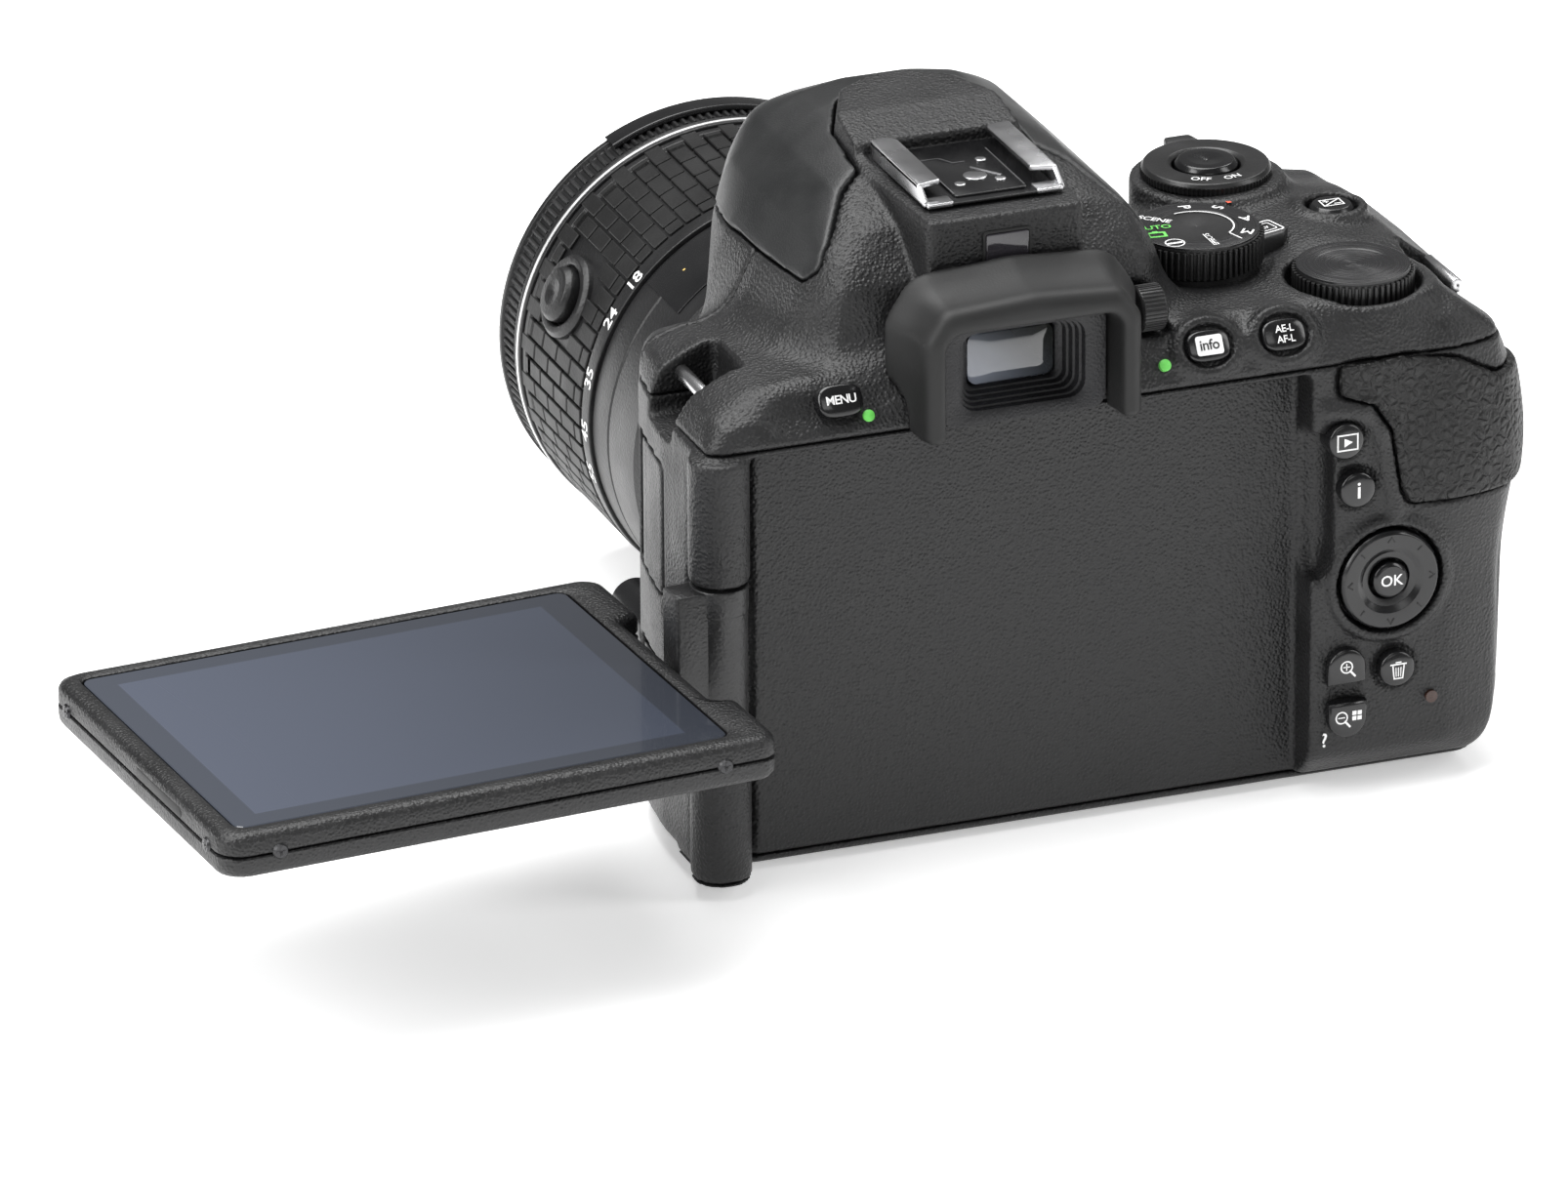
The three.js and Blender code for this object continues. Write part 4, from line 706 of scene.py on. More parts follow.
moulded("rubber_eyecup", cup, satin_paint, stands_for=("eyecup",))

EYE_Z = 73.6
back_turn = Matrix(((-1, 0, 0, 0), (0, 0, 1, 0), (0, 1, 0, 0), (0, 0, 0, 1)))
frame_paint = paint("frame_plastic", moulded_tree, (0.010, 0.010, 0.011), (0.015, 0.015, 0.017), 0.5, 0.06,
                    {"Grains": 2400.0}, Specular_IOR_Level=0.36)
steps_in = [(10.0, 6.3, 18.9), (9.3, 5.8, 18.5)]
for number in range(4):
    steps_in += [(9.1 - 0.55 * number, 5.7 - 0.42 * number, 17.6 - 1.05 * number),
                 (8.75 - 0.55 * number, 5.45 - 0.42 * number, 17.5 - 1.05 * number)]
steps_in += [(6.6, 4.05, 13.9), (6.5, 4.0, 12.2)]
loops = [level(rounded(box_outline(12.2, 7.7, 0, EYE_Z), 2.2), 15.8),
         level(rounded(box_outline(12.2, 7.7, 0, EYE_Z), 2.2), 18.9)]
loops += [level(rounded(box_outline(hx, hz, 0, EYE_Z), 2.6 - 0.15 * i), y) for i,
          (hx, hz, y) in enumerate(steps_in)]
loops += [level(rounded(box_outline(9.6, 6.4, 0, EYE_Z), 1.2), 12.2),
          level(rounded(box_outline(9.6, 6.4, 0, EYE_Z), 1.2), 15.8)]
fitted("eyepiece_plate", [moved(loft(loops, ring=True), back_turn)], frame_paint,
       stands_for=("eyepiece_frame",), smooth=40)

glass_paint = bpy.data.materials.new("coated_glass")
glass_paint.use_nodes = True
glass_surface = glass_paint.node_tree.nodes["Principled BSDF"]
glass_surface.inputs["Roughness"].default_value = 0.03
glass_surface.inputs["Coat Weight"].default_value = 1.0
glass_tree = glass_paint.node_tree
glass_place = node(glass_tree, "ShaderNodeTexCoord")["Object"]
glass_height = node(glass_tree, "ShaderNodeSeparateXYZ", Vector=glass_place)
# The glass's colour runs from near black to a pale blue-grey across a diagonal band: a painted reflection
painted_reflection_band = span(glass_tree, math_node(glass_tree, "SUBTRACT", glass_height["X"], glass_height["Z"]), -0.083,
            -0.0625, 0.0, 1.0)
glass_tree.links.new(varied(glass_tree, math_node(glass_tree, "POWER", painted_reflection_band, 2.2), (0.006, 0.007, 0.006, 1),
                            (0.30, 0.33, 0.40, 1)), glass_surface.inputs["Base Color"])
glass_steps = [(6.4, 3.9, 12.6), (6.4, 3.9, 13.7), (5.9, 3.5, 13.95), (3.5, 2.0, 14.25), (0.6, 0.4, 14.3)]
fitted("eyepiece_glass", [moved(loft([level(rounded(box_outline(hx, hz, 0, EYE_Z), min(hz * 0.45, 1.6)), y)
                                      for hx, hz, y in glass_steps]), back_turn)], glass_paint,
       stands_for=("eyepiece_lens",), smooth=60)
window_paint = paint("window_glass", moulded_tree, (0.02, 0.018, 0.022), (0.03, 0.028, 0.034), 0.12, 0.0,
                     Coat_Weight=0.6)
window = eased(slab(rounded(box_outline(3.15, 2.95, 0, 88.4), 0.35), 12.2, 12.8), 0.12)
window_rim = loft([level(rounded(box_outline(3.6, 3.4, 0, 88.4), 0.5), 12.3),
                   level(rounded(box_outline(3.6, 3.4, 0, 88.4), 0.5), 12.72),
                   level(rounded(box_outline(3.25, 3.05, 0, 88.4), 0.4), 12.72),
                   level(rounded(box_outline(3.25, 3.05, 0, 88.4), 0.4), 12.3)],
                  ring=True)
fitted("eye_sensor_window", [moved(window, back_turn)], window_paint)
# Near-black paint for dark print and rims, and for the discs and slab that stand in for holes and a notch:
# painted shade
dark_paint = paint("dark_recess", moulded_tree, (0.003, 0.003, 0.003), (0.005, 0.005, 0.005), 0.6, 0.01)
fitted("eye_sensor_rim", [moved(window_rim, back_turn)], dark_paint)

# The roof prism under the housing, in the eyepiece's coated glass
prism_outline = [(-11.5, 62.2), (11.5, 62.2), (12.2, 66), (12.2, 72), (4.5, 86.4), (-4.5, 86.4),
                 (-12.2, 72), (-12.2, 66)]
prism_turn = Matrix(((1, 0, 0, 0), (0, 0, 1, 0), (0, 1, 0, 0), (0, 0, 0, 1)))
fitted("roof_prism", [moved(eased(slab(prism_outline, -15.4, 6.0), 0.6), prism_turn)], glass_paint,
       stands_for=("pentaprism",))

# ---------------------------------------------------------------------------------------------------
# Accessory shoe
# Two bent rails of bright steel over a black contact plate; the rails end in flat feet at the back.
steel_paint = paint("bright_steel", moulded_tree, (0.55, 0.55, 0.56), (0.66, 0.66, 0.67), 0.24, 0.004,
                    {"Grains": 900.0}, Metallic=1.0)
shoe_solids = []
for side in (-1, 1):
    lip = rounded([(6.7, -13.4, 1.6), (10.4, -13.4, 0.4), (10.4, 5.2, 0.3), (6.7, 4.2, 0.4)], 0.4)
    wall = rounded([(-13.3, 94.6), (8.0, 94.6), (7.6, 95.3), (4.8, 97.0), (-13.3, 97.0)], 0.25, 3)
    wall_turn = Matrix(((0, 0, side, 0), (1, 0, 0, 0), (0, 1, 0, 0), (0, 0, 0, 1)))
    shoe_solids += [moved(eased(slab(lip, 96.35, 97.1), 0.18), Matrix.Diagonal((side, 1, 1, 1))),
                    moved(eased(slab(wall, 9.7, 10.4), 0.15), wall_turn),
                    moved(eased(slab(rounded([(6.2, 5.6), (10.1, 5.6), (10.1, 8.3), (6.2, 8.3)], 0.3), 94.5,
                                     95.15), 0.12),
                          Matrix.Diagonal((side, 1, 1, 1)))]
for dx, dy, radius in ((0, 0.4, 1.7), (3.1, 2.6, 0.8), (-2.9, 2.6, 0.8), (-3.0, -5.2, 0.8)):
    contact = lathe([(0.01, 95.2), (radius, 95.2), (radius, 95.36), (radius - 0.15, 95.42), (0.01, 95.42)],
                    24)
    shoe_solids.append(moved(contact, Matrix.Translation((dx, dy, 0))))
fitted("shoe_rails", shoe_solids, steel_paint, stands_for=("accessory_shoe",))
gloss_paint = paint("gloss_plastic", moulded_tree, (0.005, 0.005, 0.0055), (0.008, 0.008, 0.0085), 0.22,
                    0.004,
                    {"Grains": 2400.0})
plate_solids = [eased(slab(rounded([(-9.5, -13.2), (9.5, -13.2), (9.5, 8.2), (-9.5, 8.2)], 0.4), 94.5,
                           94.9), 0.1),
                eased(slab(rounded([(-5.4, -11.3), (5.4, -11.3), (5.4, 6.6), (-5.4, 6.6)], 0.5), 94.85,
                           95.25), 0.12)]
fitted("shoe_plate", plate_solids, gloss_paint, stands_for=("shoe_contact_plate",))
trace_solids = []
for path in ([(5.2, -7.5), (2.4, -7.5), (1.2, -5.2), (-0.6, -5.2)], [(-5.2, -9.0), (-5.2, 5.8)],
             [(-0.6, -3.0), (-3.6, 1.2)], [(5.3, -2), (5.3, 5.8)]):
    for (ua, va), (ub, vb) in zip(path, path[1:]):
        way = np.array([vb - va, ua - ub]) / math.hypot(ub - ua, vb - va) * 0.09
        trace_solids.append(slab([(ua - way[0], va - way[1]), (ub - way[0], vb - way[1]),
                                  (ub + way[0], vb + way[1]),
                                  (ua + way[0], va + way[1])], 95.22, 95.32))
fitted("shoe_springs", trace_solids, steel_paint)

# ---------------------------------------------------------------------------------------------------
# Zoom lens
# Turned plastic barrels: a fixed barrel, a zoom ring with a rubber sleeve of offset bricks, and a nose
# that slides out with the finely ribbed focus ring in front. Numbers are printed on the zoom ring.
LENS_TURN = Matrix(((1, 0, 0, 0), (0, 0, -1, 0), (0, 1, 0, LENS_Z), (0, 0, 0, 1)))
lens_paint = paint("lens_plastic", moulded_tree, (0.007, 0.007, 0.0073), (0.011, 0.011, 0.0115), 0.4, 0.03,
                   {"Grains": 2200.0}, Specular_IOR_Level=0.4)
ribbed_paint = paint("ribbed_rubber", moulded_tree, (0.005, 0.005, 0.005), (0.009, 0.009, 0.009), 0.5, 0.02,
                     {"Grains": 1900.0}, Specular_IOR_Level=0.36)


def lens_ring(profile, radius=0.25, steps=144):
    return moved(lathe(rounded(profile, radius, 4), steps), LENS_TURN)


fitted("fixed_barrel", [lens_ring([(24, 46.8), (29.6, 46.8), (30.4, 51.0), (31.4, 53.5), (31.4, 63.6),
                                   (31.1, 64.0),
                                   (31.4, 64.4), (31.4, 70.5), (24, 70.5)])], lens_paint,
       stands_for=("lens_barrel",))
zoom_base = [(28.6, 70.85), (31.9, 70.85), (31.9, 73.7), (31.55, 74.2), (31.45, 97.2), (31.9, 97.6),
             (31.9, 98.9),
             (28.6, 98.9)]
fitted("zoom_ring_body", [lens_ring(zoom_base)], lens_paint, body="zoom_ring", stands_for=("zoom_ring",))


def bricks_tree():
    """Bricks in staggered rows round a ring, left out near one place."""
    tree = bpy.data.node_groups.new("bricks_round_ring", "GeometryNodeTree")
    for label, kind, value in (("Strips", "Int", 60), ("Rows", "Int", 4), ("Row Pitch", "Float", 0.0056),
                               ("Radius", "Float", 0.032), ("Start", "Float", 0.0),
                               ("Stagger", "Float", 0.0),
                               ("Brick", "Vector", (0.001, 0.002, 0.005)),
                               ("Clear Place", "Vector", (0, 0, 0)),
                               ("Clear Radius", "Float", 0.0)):
        tree.interface.new_socket(name=label, in_out="INPUT",
                                  socket_type="NodeSocket" + kind).default_value = value
    tree.interface.new_socket(name="Finish", in_out="INPUT", socket_type="NodeSocketMaterial")
    tree.interface.new_socket(name="Geometry", in_out="OUTPUT", socket_type="NodeSocketGeometry")
    given = tree.nodes.new("NodeGroupInput").outputs
    circle = node(tree, "GeometryNodeMeshCircle", Vertices=given["Strips"], Radius=given["Radius"])["Mesh"]
    odd = math_node(tree, "MODULO", node(tree, "GeometryNodeInputIndex")[0], 2.0)
    lift = math_node(tree, "MULTIPLY_ADD", odd, given["Stagger"], given["Start"])
    strips = node(tree, "GeometryNodeSetPosition", Geometry=circle,
                  Offset=node(tree, "ShaderNodeCombineXYZ", Z=lift)[0])[0]
    column = node(tree, "GeometryNodeMeshLine", Count=given["Rows"],
                  Offset=node(tree, "ShaderNodeCombineXYZ", Z=given["Row Pitch"])[0])[0]
    points = node(tree, "GeometryNodeInstanceOnPoints", Points=strips, Instance=column)[0]
    points = node(tree, "GeometryNodeRealizeInstances", Geometry=points)[0]
    place = node(tree, "GeometryNodeInputPosition")[0]
    away = node(tree, "ShaderNodeVectorMath", {"operation": "DISTANCE"}, i0=place,
                i1=given["Clear Place"])["Value"]
    close = node(tree, "FunctionNodeCompare", {"operation": "LESS_THAN"}, A=away,
                 B=given["Clear Radius"])[0]
    points = node(tree, "GeometryNodeDeleteGeometry", Geometry=points, Selection=close)[0]
    axes = node(tree, "ShaderNodeSeparateXYZ", Vector=place)
    heading = node(tree, "ShaderNodeCombineXYZ", Z=math_node(tree, "ARCTAN2", axes["Y"], axes["X"]))[0]
    brick = node(tree, "GeometryNodeMeshCube", Size=given["Brick"])["Mesh"]
    bricks = node(tree, "GeometryNodeInstanceOnPoints", Points=points, Instance=brick, Rotation=heading)[0]
    bricks = node(tree, "GeometryNodeRealizeInstances", Geometry=bricks)[0]
    bricks = node(tree, "GeometryNodeSetMaterial", Geometry=bricks, Material=given["Finish"])[0]
    tree.links.new(bricks, tree.nodes.new("NodeGroupOutput").inputs[0])
    return tree


brick_tree = bricks_tree()


def grown(tree, finish, **sizes):
    """The mesh that a geometry tree makes with these inputs."""
    holder = bpy.data.objects.new("growing", bpy.data.meshes.new("growing"))
    scene.collection.objects.link(holder)
    growth = holder.modifiers.new("growth", "NODES")
    growth.node_group = tree
    for item in tree.interface.items_tree:
        label = item.name.replace(" ", "_")
        if item.in_out == "INPUT" and label in sizes:
            growth[item.identifier] = sizes[label]
        elif item.in_out == "INPUT" and item.name == "Finish":
            growth[item.identifier] = finish
    bpy.context.view_layer.update()
    evaluated = holder.evaluated_get(bpy.context.evaluated_depsgraph_get())
    mesh = bpy.data.meshes.new_from_object(evaluated)
    holder.modifiers.clear()
    bpy.data.objects.remove(holder)
    return mesh


def grown_piece(name, meshes, turns, finish, body, bevel=0.0, smooth=30):
    """One piece from grown meshes in metres, each turned to its place."""
    form = bmesh.new()
    for mesh, turn in zip(meshes, turns):
        mesh.transform(turn)
        form.from_mesh(mesh)
        bpy.data.meshes.remove(mesh)
    if bevel:
        bmesh.ops.bevel(form, geom=form.edges[:], offset=bevel * MM, segments=1, affect="EDGES")
    bmesh.ops.recalc_face_normals(form, faces=form.faces)
    mesh = bpy.data.meshes.new(name)
    form.to_mesh(mesh)
    form.free()
    mesh.shade_smooth()
    mesh.set_sharp_from_angle(angle=math.radians(smooth))
    mesh.materials.clear()
    mesh.materials.append(finish)
    piece = bpy.data.objects.new(name, mesh)
    scene.collection.objects.link(piece)
    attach(piece, body)
    return piece


LENS_TURN_M = Matrix.Translation((0, 0, LENS_Z * MM)) @ LENS_TURN.to_3x3().to_4x4()
LOCK_ANGLE = math.radians(25)
lock_place = (31.5 * MM * math.cos(LOCK_ANGLE), 31.5 * MM * math.sin(LOCK_ANGLE), 88 * MM)
STRIPS = 68
brick_width = 2 * math.pi * 31.7 / STRIPS - 0.42
sleeve = [grown(brick_tree, ribbed_paint, Strips=STRIPS, Rows=4, Row_Pitch=5.6 * MM, Radius=31.45 * MM,
                Start=77.0 * MM, Stagger=2.8 * MM, Brick=(1.1 * MM, brick_width * MM, 5.2 * MM),
                Clear_Place=lock_place, Clear_Radius=7.4 * MM),
          grown(brick_tree, ribbed_paint, Strips=STRIPS, Rows=1, Row_Pitch=5.6 * MM, Radius=31.45 * MM,
                Start=98.0 * MM - 1.8 * MM, Stagger=-20.6 * MM,
                Brick=(1.1 * MM, brick_width * MM, 2.3 * MM),
                Clear_Place=lock_place, Clear_Radius=6.4 * MM)]
grown_piece("zoom_sleeve", sleeve, [LENS_TURN_M] * 2, ribbed_paint, "zoom_ring", bevel=0.14)

# Lock button: a domed press button in an oval rim, on the zoom ring
lock_turn = Matrix.Rotation(LOCK_ANGLE, 4, "Z") @ Matrix.Translation((0, 0,
                                                                      88)) @ Matrix.Rotation(math.pi / 2, 4,
                                                                              "Y")
lock_out = LENS_TURN @ lock_turn
rim = lathe(rounded([(4.45, 29.5), (6.2, 29.5), (6.2, 32.0), (5.6, 32.6), (4.7, 32.6), (4.45, 32.2)], 0.3,
                    3), 48)
stretch_rim = Matrix.Diagonal((1.12, 1.0, 1.0, 1.0))
pad_under = slab(rounded([(-7.4, -7.4), (7.4, -7.4), (7.4, 7.4), (-7.4, 7.4)], 6.5), 29.5, 30.5)
fitted("lock_rim", [moved(rim, lock_out @ stretch_rim), moved(eased(pad_under, 0.3), lock_out)], lens_paint,
       body="zoom_ring")
button = lathe(rounded([(0.01, 31.2), (4.1, 31.2), (4.1, 33.4), (3.5, 34.2), (2.0, 34.3), (0.01, 34.0)],
                       0.5, 4), 48)
fitted("lock_button", [moved(button, lock_out)], lens_paint, body="lens_lock_button",
       stands_for=("lens_lock_button",))


def marks_mesh(marks):
    """Printed marks: lists of flat outlines, in a plane, as vertices and faces."""
    vertices, faces = [], []
    for points, shape in marks:
        base = len(vertices)
        vertices += [tuple(p) for p in points]
        faces += [tuple(base + i for i in face) for face in shape]
    return np.array(vertices, float), faces


def letters(text, size, spacing=1.0):
    """Lettering as a flat mesh about its own centre, in millimetres."""
    curve = bpy.data.curves.new("letters", "FONT")
    curve.body = text
    curve.size = size
    curve.align_x, curve.align_y = "CENTER", "CENTER"
    curve.space_character = spacing
    curve.resolution_u = 3
    curve.offset = size * 0.012
    writer = bpy.data.objects.new("letters", curve)
    scene.collection.objects.link(writer)
    bpy.context.view_layer.update()
    flat = bpy.data.meshes.new_from_object(writer.evaluated_get(bpy.context.evaluated_depsgraph_get()))
    points = [tuple(v.co) for v in flat.vertices]
    shape = [tuple(p.vertices) for p in flat.polygons]
    bpy.data.objects.remove(writer)
    bpy.data.curves.remove(curve)
    bpy.data.meshes.remove(flat)
    return np.array(points), shape


def print_on(name, marks, finish, body):
    """Ink on a surface: marks are (vertices, faces) in place, in millimetres."""
    mesh = bpy.data.meshes.new(name)
    vertices, faces = marks_mesh(marks)
    mesh.from_pydata((vertices * MM).tolist(), [], faces)
    mesh.materials.append(finish)
    piece = bpy.data.objects.new(name, mesh)
    scene.collection.objects.link(piece)
    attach(piece, body)
    return piece


def wrapped(mark, radius, angle, height, turn=0.0):
    """A flat mark laid round the lens at an angle and a height along it."""
    points, faces = mark
    spin = np.array(((math.cos(turn), -math.sin(turn)), (math.sin(turn), math.cos(turn))))
    flat = points[:, :2] @ spin.T
    around = angle + flat[:, 0] / radius
    place = np.stack([radius * np.cos(around), radius * np.sin(around), height + flat[:, 1]], 1)
    return moved((place, faces), LENS_TURN)


white_ink = paint("white_ink", moulded_tree, (0.78, 0.78, 0.78), (0.86, 0.86, 0.86), 0.5, 0.002)
numbers = [wrapped(letters(text, 3.3), 31.94, math.radians(angle), 72.3)
           for text, angle in (("18", 41), ("24", 29.5), ("35", 12.5), ("45", -2), ("55", -14))]
print_on("focal_numbers", numbers, white_ink, "zoom_ring")
plate_arc = lathe(rounded([(31.3, 57.0), (31.62, 57.0), (31.62, 69.6), (31.3, 69.6)], 0.1, 3), 24,
                  math.radians(32),
                  math.radians(43))
gloss_arc = moved(plate_arc, LENS_TURN)
fitted("barrel_plate", [gloss_arc], gloss_paint)
gold_ink = paint("gold_ink", moulded_tree, (0.62, 0.42, 0.11), (0.7, 0.5, 0.16), 0.4, 0.002)
gold_bar = (np.array([(-3.4, -0.16, 0), (3.4, -0.16, 0), (3.4, 0.16, 0), (-3.4, 0.16, 0)]), [(0, 1, 2, 3)])
gold_mark = (np.array([(-1.2, -0.9, 0), (1.2, -0.9, 0), (0.0, 1.1, 0)]), [(0, 1, 2)])
print_on("plate_marks", [wrapped(gold_bar, 31.66, math.radians(58), 64.4),
                         wrapped(gold_mark, 31.66, math.radians(66), 66.9)],
         gold_ink, "camera_body")

# The nose: a collar with a bright line, the ribbed focus ring, the front rim and the front glass
fitted("lens_nose", [lens_ring([(27.6, 75.0), (29.3, 75.0), (29.3, 99.25), (32.2, 99.25), (32.2, 101.05),
                                (29.3, 101.05),
                                (29.3, 107.6), (28.6, 108.4), (27.6, 108.4), (25.6, 104.4), (24.8, 104.2),
                                (24.8, 99.2),
                                (27.6, 97.5)])], lens_paint, body="inner_barrel",
       stands_for=("inner_barrel",))
silver_paint = paint("silver_line", moulded_tree, (0.7, 0.7, 0.7), (0.8, 0.8, 0.8), 0.3, 0.002,
                     Metallic=0.4)
fitted("silver_line", [lens_ring([(31.6, 99.9), (32.36, 99.9), (32.36, 100.45), (31.6, 100.45)], 0.1)],
       silver_paint,
       body="inner_barrel")
fitted("focus_ring_body", [lens_ring([(29.65, 101.4), (31.9, 101.4), (32.0, 102.3), (31.5, 102.6),
                                      (31.5, 107.0),
                                      (32.2, 107.3), (32.2, 108.2), (31.4, 109.0), (29.65, 109.0)])],
       lens_paint, body="focus_ring", stands_for=("focus_ring",))


def ribs_tree():
    """Half-round ribs standing round a ring."""
    tree = bpy.data.node_groups.new("ribs_round_ring", "GeometryNodeTree")
    for label, kind, value in (("Ribs", "Int", 80), ("Radius", "Float", 0.01), ("Length", "Float", 0.003),
                               ("Thickness", "Float", 0.0004), ("Start", "Float", 0.0)):
        tree.interface.new_socket(name=label, in_out="INPUT",
                                  socket_type="NodeSocket" + kind).default_value = value
    tree.interface.new_socket(name="Finish", in_out="INPUT", socket_type="NodeSocketMaterial")
    tree.interface.new_socket(name="Geometry", in_out="OUTPUT", socket_type="NodeSocketGeometry")
    given = tree.nodes.new("NodeGroupInput").outputs
    circle = node(tree, "GeometryNodeMeshCircle", Vertices=given["Ribs"], Radius=given["Radius"])["Mesh"]
    half = math_node(tree, "MULTIPLY_ADD", given["Length"], 0.5, given["Start"])
    circle = node(tree, "GeometryNodeSetPosition", Geometry=circle,
                  Offset=node(tree, "ShaderNodeCombineXYZ", Z=half)[0])[0]
    rib = node(tree, "GeometryNodeMeshCylinder", Vertices=7, Radius=given["Thickness"],
               Depth=given["Length"])["Mesh"]
    ribs = node(tree, "GeometryNodeInstanceOnPoints", Points=circle, Instance=rib)[0]
    ribs = node(tree, "GeometryNodeRealizeInstances", Geometry=ribs)[0]
    ribs = node(tree, "GeometryNodeSetMaterial", Geometry=ribs, Material=given["Finish"])[0]
    tree.links.new(ribs, tree.nodes.new("NodeGroupOutput").inputs[0])
    return tree


rib_tree = ribs_tree()
grown_piece("focus_ribs", [grown(rib_tree, lens_paint, Ribs=150, Radius=31.6 * MM, Length=4.3 * MM,
                                 Thickness=0.38 * MM,
                                 Start=102.65 * MM)], [LENS_TURN_M], lens_paint, "focus_ring", smooth=50)
hood_band = lathe(rounded([(31.9, 104.6), (32.75, 104.9), (32.75, 108.4), (31.9, 108.8)], 0.25, 3), 40,
                  math.radians(62),
                  math.radians(62))
fitted("hood_foot", [moved(hood_band, LENS_TURN)], gloss_paint, body="focus_ring")
front_coat = paint("front_glass", moulded_tree, (0.004, 0.006, 0.010), (0.008, 0.012, 0.020), 0.05, 0.0,
                   Coat_Weight=1.0, Coat_Roughness=0.02)
dome_profile = [(0.01, 104.4), (8, 104.1), (16, 103.0), (22, 101.4), (24.4, 100.2), (24.4, 99.4),
                (0.01, 99.4)]
fitted("front_glass", [moved(lathe(dome_profile, 96), LENS_TURN)], front_coat, body="inner_barrel",
       stands_for=("front_element",), smooth=50)
fitted("mount_flange", [lens_ring([(22.6, 43.7), (29.9, 43.7), (29.9, 46.5), (22.6, 46.5)], 0.2)],
       steel_paint,
       stands_for=("lens_mount_ring",))

# ---------------------------------------------------------------------------------------------------
# Monitor
# A thin two-part plastic tray held by four side screws, with a bezel round a dark glossy glass. It hangs on
# a hinge block that swings about an upright pin and turns about the block's own axis.
MONITOR_TURN = Matrix.Translation((HINGE_X, HINGE_Y, TILT_Z)) @ Matrix.Rotation(math.radians(4), 4, "Z")
tray_paint = paint("tray_plastic", moulded_tree, (0.007, 0.007, 0.0074), (0.0125, 0.0125, 0.013), 0.42, 0.1,
                   {"Grains": 2000.0}, Specular_IOR_Level=0.4)


def tray_outline(inset, notch):
    left, right, half = 5 + inset, 87.5 - inset, 31.2 - inset
    return rounded([(left, -half, 2.6), (right, -half, 3.6), (right, half, 3.6), (left, half, 2.6),
                    (left, notch, 0.8),
                    (left + 1.2, notch, 0.3), (8.2 + inset, notch - 1.4, 0.4),
                    (8.2 + inset, -notch + 1.4, 0.4),
                    (left + 1.2, -notch, 0.3), (left, -notch, 0.8)], 1.0, 5)


under = loft([level(tray_outline(1.3, 17.0), -3.2), level(tray_outline(0.5, 16.4), -2.95),
              level(tray_outline(0.1, 16.1), -2.3),
              level(tray_outline(0.0, 16.0), -1.4), level(tray_outline(0.0, 16.0), -0.35),
              level(tray_outline(0.18, 16.2), -0.15)])
fitted("monitor_tray", [moved(under, MONITOR_TURN)], tray_paint, body="monitor",
       stands_for=("monitor_rear_cover",), smooth=40)


def glass_outline(grow):
    return rounded(box_outline(36.55 + grow, 28.0 + grow, 47.75, 0), 1.6 + grow, 5)


def matched(inner, count):
    """The same closed outline as count points, evenly spaced from its rightmost point."""
    start = int(np.argmax(inner[:, 0] + 0.001 * inner[:, 1]))
    ring = np.roll(inner, -start, 0)
    closed = np.vstack([ring, ring[:1]])
    run = np.concatenate([[0], np.cumsum(np.linalg.norm(np.diff(closed, axis=0), axis=1))])
    where = np.linspace(0, run[-1], count, endpoint=False)
    return np.stack([np.interp(where, run, closed[:, i]) for i in (0, 1)], 1)


COUNT = 320
bezel_loops = [level(matched(tray_outline(0.18, 16.2), COUNT), 0.15),
               level(matched(tray_outline(0, 16.0), COUNT), 0.35),
               level(matched(tray_outline(0, 16.0), COUNT), 2.1),
               level(matched(tray_outline(0.25, 16.2), COUNT), 2.75),
               level(matched(tray_outline(0.9, 16.6), COUNT), 3.15),
               level(matched(tray_outline(1.5, 17.0), COUNT), 3.22),
               level(matched(glass_outline(0.35), COUNT), 3.22),
               level(matched(glass_outline(0.2), COUNT), 3.1),
               level(matched(glass_outline(0.15), COUNT), 1.6),
               level(matched(glass_outline(-2), COUNT), 0.4),
               level(matched(glass_outline(-2), COUNT), 0.15)]
fitted("monitor_rim", [moved(loft(bezel_loops, ring=True), MONITOR_TURN)], tray_paint, body="monitor",
       stands_for=("monitor_bezel",), smooth=40)

screen_paint = bpy.data.materials.new("screen_glass")
screen_paint.use_nodes = True
screen_tree = screen_paint.node_tree
screen_surface = screen_tree.nodes["Principled BSDF"]
screen_surface.inputs["Roughness"].default_value = 0.16
screen_surface.inputs["Coat Weight"].default_value = 0.5
screen_surface.inputs["Coat Roughness"].default_value = 0.03
screen_place = node(screen_tree, "ShaderNodeTexCoord")["Object"]
# the pane's own axes: from the hinge along it, and across it
screen_local = node(screen_tree, "ShaderNodeMapping", {"vector_type": "TEXTURE"}, Vector=screen_place,
                    Location=(HINGE_X * MM, HINGE_Y * MM, TILT_Z * MM), Rotation=(0, 0, math.radians(4)))[0]
screen_axes = node(screen_tree, "ShaderNodeSeparateXYZ", Vector=screen_local)
from_middle = [math_node(screen_tree, "ABSOLUTE", math_node(screen_tree, "SUBTRACT", screen_axes[axis],
                                                            middle))
               for axis, middle in (("X", 0.0482), ("Y", 0.0))]
inside = [span(screen_tree, value, edge, edge + 0.0002, 1.0, 0.0) for value,
          edge in zip(from_middle, (0.0318, 0.0243))]
picture = math_node(screen_tree, "MULTIPLY", *inside)
